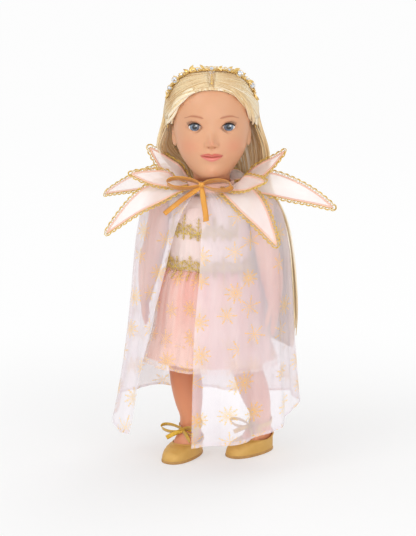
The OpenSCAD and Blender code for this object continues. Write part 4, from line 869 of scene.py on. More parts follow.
def bandAt(t, out):  # rounded arch over the hair
    a = radians(mixed(-8, 188, t))
    c, s = cos(a), sin(a)
    q = band.square
    return stack(-(band.side + out) * power(c, q), 0 * c, (band.rise + out) * power(s, q))


def bandFrame(p):
    c, s = cos(radians(band.tilt)), sin(radians(band.tilt))
    return headFrame(stack(p[..., 0], p[..., 1] * c - p[..., 2] * s, band.z + p[..., 1] * s + p[..., 2] * c))


def makeBand():
    t = linspace(0, 1, 160)
    wires = []
    for y, lift in ((-1.8, 1.0), (1.8, 1.0), (0, 1.3)):
        wires.append(tube(bandFrame(bandAt(t, lift) + array([0, y, 0])), band.wireR, 6))
    t2 = linspace(0.03, 0.97, 700)
    weave = 1.8 * sin(t2 * 150)
    woven = bandAt(t2, 1.6 + 0.5 * cos(t2 * 300)) + stack(0 * t2, weave, 0 * t2)
    wires.append(tube(bandFrame(woven), band.weaveR, 5))
    piece("bandWire", wires, gold, "headband", ["headband_band"], "headband_gold")
    leafParts = []

    def sprig(at, lean, fore, length, width, rows):  # veined leaf with a curl beside it, seated on the band
        seat = bandAt(array(at), 1.6) + array([0, fore * 1.6, 0])
        along = unit(bandAt(array(at + 0.01), 0) - bandAt(array(at - 0.01), 0))
        rise = unit(np.cross(along, [0, 1, 0]))
        run = unit(along * 0.75 * lean + array([0, fore * 0.75, 0]) + rise * 0.5)
        face = unit(rise - run * (rise @ run) + array([0, -0.5, 0]))
        cross = unit(np.cross(face, run))
        s = steps(rows)
        k = linspace(1, -1, 5)[None]
        w = width / 2 * maximum(sin(pi * (0.06 + 0.93 * s)), 0.04)
        vein = 0.18 * np.abs(sin(s * 16 - np.abs(k) * 3)) * np.abs(k)
        grid = (seat + run * (length * s)[..., None] + cross * (w * k)[..., None]
                + face * ((1 - np.abs(k)) * 0.7 * sin(pi * s) + vein)[..., None])
        leafParts.extend(shell(bandFrame(grid), 0.5))
        q = linspace(0.15, 1, 16)
        coil, r = q * 2.2 * pi, length * 0.3 * (1.05 - q * 0.8)
        centre = seat - along * lean * length * 0.35 + rise * 0.5 + array([0, fore * 1.5, 0])
        path = (centre + along * (lean * r * cos(coil))[:, None]
                + array([0, fore, 0.4]) * (r * sin(coil))[:, None])
        leafParts.append(tube(bandFrame(path), 0.42 * (1.1 - 0.5 * q), 5))
    for at, lean in band.leaves:
        sprig(at, lean, lean, band.leafL, band.leafW, 14)
    for k, at in enumerate(linspace(0.13, 0.87, band.sprigs)):
        sprig(at, 1 if at > 0.5 else -1, -1 if k % 3 else 1, band.sprigL * (1.15 if k % 2 else 0.85),
              band.sprigW, 9)
    piece("bandLeaves", leafParts, gold, "headband", ["headband_leaves"], "headband_gold")
    stones, rings = [], []
    for at, size in band.stones:
        r = band.stoneR * size
        rise = unit(np.cross(bandAt(array(at + 0.01), 0) - bandAt(array(at - 0.01), 0), [0, 1, 0]))
        face = unit(rise * 0.6 + array([0, -0.8, 0]))
        centre = bandAt(array(at), 1.6) + rise * (0.6 * r) + array([0, -0.9 * r, 0])
        flatA = unit(np.cross(face, [1.0, 0.2, 0.1]))
        flatB = np.cross(face, flatA)
        lat = radians(array([-88, -60, -30, 0, 22, 40, 56, 62, 88]))[:, None]
        lon = around(12)[None]
        cut = r * 0.96
        p = centre + cut * ((cos(lat) * cos(lon))[..., None] * flatA + (cos(lat) * sin(lon))[..., None] * flatB
                            + (sin(np.minimum(lat, 1.0)) + 0 * lon)[..., None] * face)
        stones.append(skin(bandFrame(p)))
        turn = around(40)[:, None]
        ring = centre + r * (cos(turn) * flatA + sin(turn) * flatB)
        ring = ring + face * (0.15 + 0.18 * cos(turn * 14))
        rings.append(tube(bandFrame(ring), 0.55, 6, closed=True, up=tuple(face)))
        rings.append(tube(bandFrame(np.stack([bandAt(array(at), 1.0), centre - face * 0.5 * r])), 0.9, 6,
                          up=(0.3, 1, 0.1)))
    gem = piece("bandStones", stones, stone, "headband", ["headband_stones"], "clear_stone")
    gem.data.polygons.foreach_set("use_smooth", np.zeros(len(gem.data.polygons), bool))
    piece("stoneRings", rings, gold, "headband", slotName="headband_gold")
    beads = []
    last = band.beads - 1
    for k in range(band.beads):
        r = band.beadR * (band.lastBead if k == last else 1)
        z = mixed(0.965, 0.895, k / last)
        beads.append(ball(headFrame(onScalp(array(0.0), array(z), 4 + r + 0.4)), r, 8, 12))
    zs = linspace(0.972, 0.898, 20)
    beads.append(tube(headFrame(onScalp(0 * zs, zs, 5.2)), 0.35, 5, up=(1, 0, 0)))
    piece("bandDrop", beads, gold, "headband", ["headband_drop"], "headband_gold")


makeBand()
print("headband made")

# limbs: the rings of the source carried smoothly from one to the next

def ring(n, centre, side, depth):
    a = around(n)
    return np.asarray(centre, float) + stack(side * sin(a), -depth * cos(a), 0 * a)


def dense(rings, per):  # more rings between the given ones, on a cubic through them
    rings = array(rings)
    n = len(rings)
    rows = np.hstack([np.arange(n)[:, None], rings.reshape(n, -1)])
    t = linspace(0, n - 1, (n - 1) * per + 1)
    return np.moveaxis(through(t, rows), 0, -1).reshape((len(t),) + rings.shape[1:])


def fused(obj, voxel, rounds):  # one skin over joined parts
    for kind, fields in (("REMESH", dict(mode="VOXEL", voxel_size=voxel * mm)),
                         ("SMOOTH", dict(factor=0.5, iterations=rounds))):
        modifier = obj.modifiers.new(kind.title(), kind)
        for key, value in fields.items():
            setattr(modifier, key, value)
    bpy.context.view_layer.update()
    mesh = bpy.data.meshes.new_from_object(obj.evaluated_get(bpy.context.evaluated_depsgraph_get()))
    obj.modifiers.clear()
    mesh.materials.clear()
    mesh.materials.append(obj.data.materials[0])
    obj.data = mesh
    mesh.polygons.foreach_set("use_smooth", np.ones(len(mesh.polygons), bool))


arm = Sizes(x=60.0, face=49.0, shoulder=297.0, length=144.0, r=14.5, reach=20.0, finger=2.4, palm=9.57,
            rings=[[0.816, 0.96, 0.36, 0.7], [0.763, 0.92, 0.43, 0.73], [0.68, 0.87, 0.63, 0.68],
                   [0.59, 0.79, 0.8, 0.84], [0.49, 0.67, 0.92, 0.96], [0.394, 0.52, 0.94, 0.98],
                   [0.285, 0.33, 0.95, 0.98], [0.15, 0.12, 0.99, 1], [0.06, 0.02, 1, 1], [0, 0, 1, 1]],
            fingers=[[-0.52, 0.96], [-0.17, 1], [0.17, 0.985], [0.5, 0.93]])
domeAngles = radians([20, 40, 60, 76, 86])


def armAt(drop, reach):
    return array([arm.x + arm.reach * reach, -0.3 * arm.reach * float(smooth(drop)),
                  arm.shoulder - arm.length * drop])


def makeArm(name, mirror):
    rings = [ring(48, armAt(d, q), arm.r * w, arm.r * h) for d, q, w, h in arm.rings]
    rings += [ring(48, (arm.x, 0, arm.shoulder + arm.r * sin(a)), arm.r * cos(a), arm.r * cos(a))
              for a in domeAngles]
    grid = dense(rings, 5)
    grid[..., 0] = maximum(grid[..., 0], arm.face)
    parts = [skin(grid)]
    knuckle, f = armAt(0.816, 0.96), arm.finger
    for place, drop in arm.fingers:
        side = array([0, arm.palm * place * 1.25, f])
        root, tip = knuckle + side, armAt(drop, 1.0) + side - array([f, 0, 0])
        t = steps(14)
        path = mixed(root, tip, t) + array([0.7, 0, 0]) * sin(pi * t)
        parts += [tube(path, f * (1.04 - 0.2 * t[:, 0]), 12, up=(0, 1, 0)), ball(root, f * 1.05),
                  ball(tip, f * 0.86)]
    root = armAt(0.76, 0.85) + array([0, -arm.palm, 0])  # thumb
    tip = armAt(0.88, 0.85) + array([-f, -arm.palm * 1.5, 0])
    t = steps(12)
    parts += [tube(mixed(root, tip, t) + array([0, -1.2, 0]) * sin(pi * t), f * 1.12, 12, up=(1, 0, 0)),
              ball(root, f * 1.3), ball(tip, f * 1.06)]
    if mirror:
        parts = [dict(p, points=mirrored(p["points"]), quads=p["quads"][:, ::-1], tris=p["tris"][:, ::-1])
                 for p in parts]
    side = "right" if mirror else "left"
    obj = piece(name, parts, limbVinyl)
    fused(obj, 0.7, 8)
    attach(obj, side + "_arm_body")
    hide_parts(side + "_arm")


leg = Sizes(x=36.0, face=17.0, hip=195.0, ankle=36.0, thigh=19.5, footL=61.5, footW=27.0, sole=3.5, gap=0.4,
            toeShare=0.74, instep=0.53, ankleTop=45.0, step=dict(left=42.0, right=0.0),
            turn=dict(left=-28.0, right=12.0), lean=dict(left=10.0, right=-10.0),
            rings=[[0, 0.63, 0.63, 0.1], [0.075, 0.64, 0.68, 0.12], [0.16, 0.79, 0.85, 0.14],
                   [0.28, 0.92, 0.97, 0.15], [0.39, 0.92, 0.95, 0.08], [0.49, 0.91, 0.92, 0.02],
                   [0.566, 0.91, 0.92, 0], [0.686, 0.94, 0.95, 0], [0.843, 0.98, 0.99, 0], [1, 1, 1, 0]],
            heel=[[90, 0.16, 0.9, 0.45], [62, 0.11, 1.015, 0.42], [45, 0.1, 1.115, 0.385],
                  [28, 0.08, 0.94, 0.4]],
            fore=[[0, 0.22, 0.18, 0.11], [0.055, 0.27, 0.15, 0.28], [0.15, 0.34, 0.11, 0.43],
                  [0.28, 0.38, 0.107, 0.46], [0.41, 0.51, 0.107, 0.46]])
ankleY = leg.thigh * 0.115
toeY = -leg.footL * leg.toeShare


def stepped(p, side):  # the foot turns about its ankle, is set back and leans, fading out towards the hip
    z = p[..., 2]
    low = clip(1 - 1.2 * (z - leg.ankleTop) / (leg.hip - leg.ankleTop), 0, 1)
    turn = radians(leg.turn[side] * smooth(low))
    x, y = p[..., 0] - leg.x, p[..., 1] - ankleY
    q = stack(leg.x + leg.lean[side] * low ** 2 + x * cos(turn) - y * sin(turn),
              ankleY + leg.step[side] * low ** 1.4 + x * sin(turn) + y * cos(turn), z)
    return mirrored(q) if side == "right" else q


def footRing(near, far, half, n=48):
    near, far = array(near), array(far)
    mid, reach = (near + far) / 2, (far - near) / 2
    a = around(n)
    return stack(leg.x + half * sin(a), mid[0] - reach[0] * cos(a), mid[1] - reach[1] * cos(a))


def makeLeg(side):
    base, up = leg.sole + leg.gap, leg.ankle
    rings = [footRing((toeY + leg.footL * s, up * t), (toeY + leg.footL * s, max(up * b, base)), leg.footW * w)
             for s, t, b, w in leg.fore]
    pivot = array([toeY + leg.footL * leg.instep, up])
    for s, near, far, w in leg.heel:
        slope = array([cos(radians(s)), -sin(radians(s))])
        rings.append(footRing(pivot + slope * up * near,
                              pivot + slope * min(up * far, (up - base) / -slope[1]), leg.footW * w))
    rings += [ring(48, (leg.x, leg.thigh * b, mixed(up, leg.hip, s)), leg.thigh * w, leg.thigh * d)
              for s, w, d, b in leg.rings]
    rings += [ring(48, (leg.x, 0, leg.hip + leg.thigh * sin(a)), leg.thigh * cos(a), leg.thigh * cos(a))
              for a in domeAngles]
    grid = dense(rings, 5)
    grid[..., 1] -= 1.3 * bump(grid[..., 0], grid[..., 2], leg.x, 112, 9, 9) * (grid[..., 1] < 0)  # knee
    grid[..., 0] = maximum(grid[..., 0], leg.face)
    # painted shade: the leg vinyl darkens towards the top, under the skirt
    tall = smooth((grid[..., 2] - 40) / 90)[..., None]
    tint = mixed(tone(224, 150, 110), tone(206, 122, 82), tall)
    piece(side + "LegVinyl", skin(stepped(grid, side), flip=side == "right", tint=tint), skinVinyl,
          side + "_leg_body", [side + "_leg"], "skin_vinyl")


shoe = Sizes(room=2.1, upper=1.0, tread=0.515, taper=0.09, throat=0.34, throatH=14.5, quarterH=13.0,
             counterH=20.0)
shoeToe = toeY - shoe.room - shoe.upper
shoeL = leg.footL + 2 * (shoe.room + shoe.upper)
shoeHalf = leg.footW * shoe.tread + shoe.room + shoe.upper


def shoeAt(a, inset):  # outline of the sole at an angle from the toe
    w, s, c = shoeHalf * (1 + shoe.taper * cos(a)) - inset, sin(a), cos(a)
    return (leg.x + w * power(s, 0.85), shoeToe + shoeL / 2 - (shoeL / 2 - inset) * power(c, 0.9))


def toplineAt(a):
    backY, throatY = shoeToe + shoeL - shoe.upper / 2, shoeToe + shoeL * shoe.throat
    half, c = (backY - throatY) / 2, cos(a)
    rise = mixed(shoe.quarterH, where(c > 0, shoe.throatH, shoe.counterH), np.abs(c) ** where(c > 0, 1.5, 2))
    return leg.x + (shoeHalf - shoe.upper * 0.6) * 0.98 * sin(a), throatY + half - half * c, leg.sole + rise


def upperAt(low, top, t):  # quarter arch from the sole's edge to the top line
    return stack(mixed(low[0], top[0], 1 - cos(t)), mixed(low[1], top[1], 1 - cos(t)),
                 mixed(leg.sole, top[2], sin(t)))


def makeShoe(side):
    a = around(96)[None]
    t = radians(linspace(0, 90, 20))[:, None]
    low, top = shoeAt(a, shoe.upper / 2), toplineAt(a)
    grid = upperAt(low, top, t)
    # soft creases over the toe and across the vamp
    crease = 0.25 * sin(grid[..., 1] * 0.9 + 2 * cos(a)) * sin(2 * t)
    grid = grid + stack(0 * crease, 0 * crease, crease)
    parts = shell(stepped(grid, side)[:, ::-1] if side == "right" else stepped(grid, side), shoe.upper,
                  wrap=True)
    edge = stepped(stack(*toplineAt(around(120))), side)
    parts.append(tube(edge, 0.75, 8, closed=True))
    seam, heel = linspace(0.04, 0.97, 20) * pi / 2, np.full(20, pi)
    line = upperAt(shoeAt(heel, shoe.upper / 2), toplineAt(heel), seam) + array([0, 0.1, 0])
    parts.append(tube(stepped(line, side), 0.4, 6))
    piece(side + "Slipper", parts, slipperGold, side + "_leg_body", [side + "_shoe_upper"], "slipper_gold")
    inset = array([1.2, 0.3, 0, 0, 0.25, 0.5])[:, None]
    z = array([0, 0.25, 0.9, 2.5, 3.2, 3.5])[:, None]
    x, y = shoeAt(a, inset)
    piece(side + "Sole", skin(stepped(stack(x, y, z), side), flip=side == "right"), soleTan,
          side + "_leg_body", [side + "_shoe_sole"], "sole")


for handed in ("right", "left"):
    makeArm(handed + "ArmVinyl", handed == "right")
    makeLeg(handed)
    makeShoe(handed)
print("limbs and slippers made")

# ribbons

ribbon = Sizes(w=6.5, t=0.7, loopL=36.0, loopH=13.0, tailL=47.0, knotR=3.4, knot=array([0, -30.6, 326.4]),
               ankleW=4.5, ankleLoop=24.0, ankleSink=5.5, knotSize=(3.9, 3.3, 3.5), knotFolds=9)


def loopPath(knot, run, rise, length, height):  # drop-shaped loop
    t = radians(linspace(8, 352, 60))[:, None]
    return knot + run * length * (1 - cos(t)) / 2 + rise * height / 2 * sin(t) * (0.45 + 0.55 * sin(t / 2))


def tailPath(start, run, sag, length, curl=1.5):
    t = steps(40)
    return start + run * length * t + array([0, 0, -sag]) * t * t + array([0, -curl, 0]) * sin(t * 6) * t


def makeBow():
    knot = ribbon.knot
    loops, tails = [], []
    for sign in (-1, 1):
        run = unit(array([sign, -0.22, 0.05]))
        across = unit(array([-sign * 0.25, -0.7, 0.72]))
        rise = unit(np.cross(run, [0, -1, 0.2])) * sign
        path = loopPath(knot + run * (ribbon.knotR * 0.5), run, rise, ribbon.loopL + 1.4, ribbon.loopH)
        pinch = 1 - 0.45 * exp(-(np.linalg.norm(path - knot, axis=1) / 6.5) ** 2)
        loops.append(strip(path, across, ribbon.w * 1.2 * pinch, ribbon.t))
    piece("bowLoops", loops, bowSatin, "torso", ["bow_loops"], "bow_satin")
    start = knot - array([0, 0, ribbon.w * 0.35])
    for run, short in ((unit(array([-0.68, -0.36, -0.44])), 0), (unit(array([0.3, -0.52, -0.62])), 9)):
        path = tailPath(start, run, ribbon.tailL * 0.12, ribbon.tailL + 2 - short)
        pinch = 1 - 0.4 * exp(-(np.linalg.norm(path - knot, axis=1) / 7) ** 2)
        tails.append(strip(path, unit(np.cross(run, [0, -0.8, 0.6])), ribbon.w * pinch, ribbon.t))
    piece("bowTails", tails, bowSatin, "torso", ["bow_tails"], "bow_satin")
    lat = radians(linspace(-86, 86, 20))[:, None]
    lon = around(40)[None]
    fold = 1 + 0.06 * cos(lon * ribbon.knotFolds + 1.5 * sin(lat * 2))
    wide, deep, tall = ribbon.knotSize
    p = knot + stack(wide * cos(lat) ** 0.6 * cos(lon) * fold, deep * cos(lat) ** 0.6 * sin(lon) * fold,
                     tall * sin(lat))
    piece("bowKnot", skin(p), bowSatin, "torso", ["bow_knot"], "bow_satin")


def makeAnkleBow(side):
    w, loopL = ribbon.ankleW, ribbon.ankleLoop
    inner = leg.thigh * 0.66 + leg.gap
    centre = array([leg.x, ankleY, leg.ankle - 0.4 + w / 2])
    a = around(72)[None]
    h = linspace(-1, 1, 7)[:, None]
    sink = ribbon.ankleSink
    strap = centre + stack((inner + 0.7 + 0.15 * cos(3 * a) * h) * sin(a),
                           -(inner + 0.7 + 0.2 * (1 - h * h)) * cos(a), h * w / 2 - sink * (1 + cos(a)) / 2)
    parts = shell(strap, 0.6, wrap=True)
    knotR = w * 0.45
    knot = centre + array([0, -inner - 1.6 - knotR, -sink])
    parts.append(ball(knot, knotR * 1.05, 10, 16, (1.15, 0.9, 1.0)))
    for turn in (-1, 1):
        run, across = unit(array([turn, -0.3, 0.12])), unit(array([-turn * 0.2, -0.6, 0.8]))
        rise = unit(np.cross(run, [0, -1, 0.2])) * turn
        parts.append(strip(loopPath(knot + run * knotR * 0.4, run, rise, loopL + 1, loopL * 0.4), across,
                           w * 1.25, 0.7))
        fall = unit(array([turn * 0.75, -0.5, -0.3]))
        parts.append(strip(tailPath(knot + fall * knotR * 0.6, fall, loopL * 0.1, loopL * 0.8, 0.6),
                           (0.2 * turn, -0.3, -0.9), w * 1.15, 0.7))
    for p in parts:
        p["points"] = stepped(p["points"], side)
        if side == "right":
            p["quads"], p["tris"] = p["quads"][:, ::-1], p["tris"][:, ::-1]
    piece(side + "AnkleBow", parts, ankleSatin, side + "_leg_body", [side + "_ankle_ribbon"], "ankle_satin")


makeBow()
makeAnkleBow("right")
makeAnkleBow("left")
print("bows made")

# body and dress

dress = Sizes(halfW=47.0, halfD=40.0, belly=219.0, seat=310.0, waist=228.0, bodiceOff=1.8, laceOff=3.24,
              topShare=0.88, armShare=0.54, chest=(264.1, 293.6), waistLace=(227.0, 247.0), skirtL=110.0,
              liningShort=5.0, flare=29.0, fold=2.0, folds=12, seatHalfW=15.0, seatHalfD=24.0, pucker=0.35,
              puckerZ=300.0, sway=(0.0157, 0.0072, 0.607), swayHalf=16.0)
seatRows = [[174, 0.66, 0.7], [178.5, 1, 0.95], [200, 1, 1], [219, 1, 1]]
bodyRows = [[0.04, 0.72, 0.78], [0.085, 0.965, 0.965], [0.23, 0.99, 1], [0.45, 1, 1], [0.67, 0.995, 0.965],
            [0.81, 0.97, 0.88], [0.92, 0.85, 0.74], [1, 0.52, 0.56]]


def bodyAt(a, z, off):  # point standing off the body at an angle from the front
    side, depth = through((z - dress.belly) / (dress.seat - dress.belly), bodyRows)
    return stack((dress.halfW * side + off) * sin(a), -(dress.halfD * depth + off) * cos(a), z + 0 * a)


def makeTorso():
    a = around(96)[None]
    shares = linspace(0.04, 1, 60)[:, None]
    upper = bodyAt(a, mixed(dress.belly, dress.seat, shares), 0.0)
    lower = np.stack([stack(dress.seatHalfW * w * sin(a[0]), -dress.seatHalfD * d * cos(a[0]), z + 0 * a[0])
                      for z, w, d in dense(seatRows, 6)])
    grid = concatenate([lower, upper])
    pucker = dress.pucker * sin(a * 40) * exp(-((grid[..., 2] - dress.puckerZ) / 6) ** 2)
    grid = grid + stack(pucker * sin(a), -pucker * cos(a), 0 * pucker)
    obj = piece("stuffedBody", skin(grid), bodyCloth, "torso", ["cloth_torso"], "cloth_body")


def dressTop(a):
    return mixed(dress.waist, dress.seat, mixed(dress.armShare, dress.topShare, np.abs(cos(a)) ** 1.3))


def makeBodice():
    a = around(240)[None]
    t = steps(50)
    z = mixed(dress.waist - 1, dressTop(a), t)
    gather = (0.35 * sin(a * 44 + 2 * sin(a * 5)) * (1 - smooth(t / 0.6))
              + 0.25 * sin(a * 31) * smooth((t - 0.5) / 0.5))
    obj = piece("bodice", shell(bodyAt(a, z, dress.bodiceOff + gather), 0.8, wrap=True), bodiceCloth, "torso",
                ["dress_bodice"], "bodice_cloth")


skirtRows = [[0, 0], [0.06, 0.2], [0.14, 0.33], [0.3, 0.45], [0.62, 0.6], [0.8, 0.77], [1, 1]]


def skirtAt(a, t, off, length):  # gathered ring of cloth below the waist
    side = dress.halfW * 0.965 + dress.bodiceOff + off
    depth = dress.halfD * 0.967 + dress.bodiceOff + off
    flare = through(t, skirtRows)
    phase = a * dress.folds + 0.7 * sin(a * 3 + 1) * t
    wide = dress.flare * (length / dress.skirtL) ** 2 * (1 - 0.18 * maximum(0, -cos(a)))
    out = flare * (wide + dress.fold * (0.75 * cos(phase) + 0.3 * cos(a * 29 + 2 * sin(a * 2))))
    out = out + 0.5 * cos(a * 58) * (1 - smooth(t / 0.3))
    return stack((side + out) * sin(a), -(depth + out) * cos(a), dress.waist - length * t)


lace = Sizes(stem=0.46, barb=0.36, ring=0.42, ringR=1.5, cord=0.48, rays=6)


def laceParts(first, last, low, high, pitch, hang):
    # a row of branched frost stars on a corded line, every second one higher, with sprigs between them
    r0 = dress.halfW
    tall = high - low
    parts = []

    def laid(s, h, radius, closed=False):
        a, z = s / r0, low + h
        p = bodyAt(a, maximum(z, dress.waist), dress.laceOff + radius * 0.4)
        below = skirtAt(a, clip((dress.waist - z) / dress.skirtL, 0, 1), 4.0, dress.skirtL)
        p = where((z < dress.waist)[..., None], below, p)
        outward = stack(sin(a), -cos(a), 0 * a)
        parts.append(tube(p, radius, 5, closed=closed, up=tuple(outward.mean(0) + [0.01, 0.02, 0.03])))

    def branch(s0, h0, angle, reach, barbs):  # stem with paired barbs that lean to its tip
        q = linspace(0, 1, 5)
        c, d = sin(angle), cos(angle)
        laid(s0 + q * reach * c, h0 + q * reach * d, lace.stem)
        for share, size in barbs:
            for lean in (-0.9, 0.9):
                e, f = sin(angle + lean), cos(angle + lean)
                laid(s0 + reach * share * c + q[::2] * size * e, h0 + reach * share * d + q[::2] * size * f,
                     lace.barb)
    count = int(round((last - first) * r0 / pitch))
    step = (last - first) * r0 / count
    th = around(16)
    for k in range(count):
        s0 = first * r0 + (k + 0.5) * step
        mid = tall * (0.42 if k % 2 else 0.3)
        for ray in range(lace.rays):
            angle = 2 * pi / lace.rays * ray
            up, down = ray == 0, ray == lace.rays // 2
            reach = tall * 0.56 if up else (mid + hang if down else step * 0.53)
            branch(s0, mid, angle, reach, ((0.34, 3.4), (0.6, 2.8), (0.82, 1.8)))
        laid(s0 + lace.ringR * cos(th), mid + lace.ringR * sin(th), lace.ring, closed=True)
        branch(s0 + step / 2, tall * 0.24, 0.0, tall * 0.4, ((0.45, 2.6), (0.8, 1.8)))
        branch(s0 + step / 2, tall * 0.24, pi, tall * 0.2 + hang * 0.7, ((0.55, 2.2),))
    s = linspace(first * r0, last * r0, count * 24)
    for chunk in np.array_split(np.arange(len(s)), max(count // 2, 1)):
        run = np.arange(chunk[0], min(chunk[-1] + 2, len(s)))
        laid(s[run], tall * 0.24 + 0.8 * sin(s[run] * 2 * pi / 4.2), lace.cord)
    return parts


def makeLace():
    # backing net under the threads, cut along the same edges
    for name, nodeName, first, last, (low, high), pitch, hang in (
            ("chestLace", "chest_lace", -0.94, 0.94, dress.chest, 17.0, 0.0),
            ("waistLace", "waist_lace", 0.0, 2 * pi, dress.waistLace, 18.5, 8.0)):
        a = linspace(first, last, 160)[None]
        h = steps(8)
        top = high - 5.0 * np.abs(sin(a * dress.halfW / pitch * pi)) ** 2 - 2
        net = bodyAt(a, mixed(low + 0.6, top, h), dress.laceOff - 0.35)
        back = piece(name + "Net", surface(net), netSheer, "torso", slotName="gold_lace")
        piece(name, laceParts(first, last, low, high, pitch, hang), laceThread, "torso", [nodeName],
              "gold_lace")
        span = lengthOf(net[3])


def pointsOf(obj):
    co = np.zeros(len(obj.data.vertices) * 3, np.float32)
    obj.data.vertices.foreach_get("co", co)
    return co.reshape(-1, 3).astype(float) / mm


def makeSkirt():
    for side, first, last in (("right", -pi, 0.0), ("left", 0.0, pi)):
        a = linspace(first, last, 200)[None]
        t = steps(70)
        for layer, off, length, finish, slotName in (
                ("Lining", 1.3, dress.skirtL - dress.liningShort, liningSatin, "lining_satin"),
                ("Overlay", 3.0, dress.skirtL, tulleSheer, "overlay_tulle")):
            grid = skirtAt(a, t, off, length)[::-1]
            flat = (lengthOf(grid[0]), lengthOf(grid[:, 60]))
            parts = [surface(grid)]
            if layer == "Overlay":  # narrow double hem and the seam line above it
                hem = skirtAt(a, mixed(0.975, 1.0, linspace(0, 1, 4))[:, None], off + 0.35, length)[::-1]
                tuck = skirtAt(a, mixed(0.742, 0.755, linspace(0, 1, 3))[:, None], off + 0.35, length)[::-1]
                parts += [surface(hem), surface(tuck)]
            obj = piece(side + "Skirt" + layer, parts, finish, None, ["skirt_" + layer.lower()], slotName)
            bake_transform(obj)
            p = pointsOf(obj)
            outShare, downShare, begin = dress.sway
            w = outShare * np.abs(p[:, 0]) + downShare * (dress.waist - p[:, 2]) - begin
            fore = mixed(0.25, 1.0, smooth((10 - p[:, 1]) / 40))
            smooth(w) * smooth(np.abs(p[:, 0]) / dress.swayHalf) * fore
            area = areaOf(grid)


makeTorso()
makeBodice()
makeLace()
makeSkirt()
print("dress made")

# cape: gathered at the collar and open at the front

cape = Sizes(base=27.0, top=317.4, side=101.0, front=82.0, back=76.0, length=257.0, fold=4.0, folds=11,
             flare=16.0, armTop=302.0, armFade=40.0, lowTop=200.0, lowFade=140.0, stripTop=185.0,
             stripFade=90.0)
capeRows = [
    [0, 0, 0, 0, 0, 0, 0, 8, 7], [1, 0.268, 0.004, 0.13, 0.018, 0.176, 0.014, 10, 7],
    [2, 0.526, 0.016, 0.242, 0.055, 0.34, 0.05, 13, 6],
    [3, 0.69, 0.054, 0.33, 0.113, 0.443, 0.109, 16, 5], [4, 0.785, 0.121, 0.39, 0.19, 0.505, 0.19, 19, 4],
    [5, 0.85, 0.222, 0.44, 0.277, 0.55, 0.277, 22, 4], [6, 0.885, 0.346, 0.515, 0.358, 0.61, 0.362, 24, 4],
    [7, 0.905, 0.486, 0.67, 0.471, 0.755, 0.471, 27, 4], [8, 0.926, 0.63, 0.83, 0.619, 0.875, 0.619, 32, 4],
    [9, 0.96, 0.805, 0.93, 0.825, 0.95, 0.813, 40, 4], [10, 1, 1, 1, 1, 1, 1, 50, 4]]
capeHem = [[56, 1.11], [72, 1.06], [95, 1.005], [180, 1], [262, 0.955], [290, 1.02], [320, 1.07], [356, 1.1]]


def capeAt(i, w):  # point at a row number and a share from the right front edge round the back to the left one
    side, sideD, front, frontD, back, backD, first, last = through(i, capeRows)
    deg = mixed(first, 360 - last, w)
    a = radians(deg)
    across, fore = sin(a) ** 2, cos(a) > 0
    sideR = mixed(cape.base, cape.side, side)
    depth = mixed(cape.base, where(fore, cape.front, cape.back), where(fore, front, back))
    drop = clip(mixed(where(fore, frontD, backD), sideD, across), 0, 1)
    hem = mixed(1, through(deg, capeHem), drop ** 3)
    ripple = cos(a * cape.folds) + 0.22 * cos(a * 23 + 3 * drop) + 0.12 * cos(a * 41 - 2 * drop)
    wave = cape.fold * drop ** 0.8 * ripple
    gather = 0.5 * cos(a * 70) * (1 - smooth(drop / 0.12))
    sweep = cape.flare * drop ** 4 * maximum(0, sin(a))
    return stack(-(sideR + wave + gather + sweep) * sin(a), -(depth + wave + gather) * cos(a),
                 cape.top - cape.length * drop * hem)


def makeCape():
    for name, first, last, other in (
            ("capeRight", 0.0, 0.42, "right_arm_body"), ("capeLeft", 0.42, 0.905, "left_arm_body"),
            ("capeFront", 0.905, 1.0, "left_leg_body")):
        i = linspace(0, 10, 150)[:, None]
        w = linspace(first, last, 60 if other == "left_leg_body" else 200)[None]
        grid = capeAt(i, w)
        parts = [surface(grid)]
        hem = capeAt(linspace(9.93, 10, 4)[:, None], w)
        parts.append(surface(hem + stack(0.25 * np.sign(hem[..., 0]), 0 * hem[..., 0], 0 * hem[..., 0])))
        obj = piece(name, parts, capeSheer, None, ["cape"], "cape_organza")
        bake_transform(obj)
        p = pointsOf(obj)
        share = concatenate([np.broadcast_to(w, grid.shape[:2]).ravel(),
                             np.broadcast_to(w, hem.shape[:2]).ravel()])
        inside = smooth((share - first) / (0.05 if other == "left_leg_body" else 0.12)) if first > 0 else 1.0
        if other == "left_leg_body":
            weight = inside * smooth((cape.stripTop - p[:, 2]) / cape.stripFade)
        else:
            inside = inside * smooth((last - share) / (0.14 if first == 0 else 0.07))
            weight = inside * smooth((cape.armTop - p[:, 2]) / cape.armFade)
            weight = weight * mixed(1, 0.4, smooth((cape.lowTop - p[:, 2]) / cape.lowFade))
            # the weight is lowered behind the legs
            weight = weight * mixed(1, 0.1, smooth((215 - p[:, 2]) / 40) * smooth((p[:, 1] + 20) / 30))
            weight = weight * mixed(1, 0.25, smooth((p[:, 1] - 5) / 30))
        area = areaOf(grid)
        tall = lengthOf(grid[:, grid.shape[1] // 2])
        wide = lengthOf(grid[-1])


makeCape()
print("cape made")

# collar: satin band with twelve bound petals, each edged with a looped gold trim

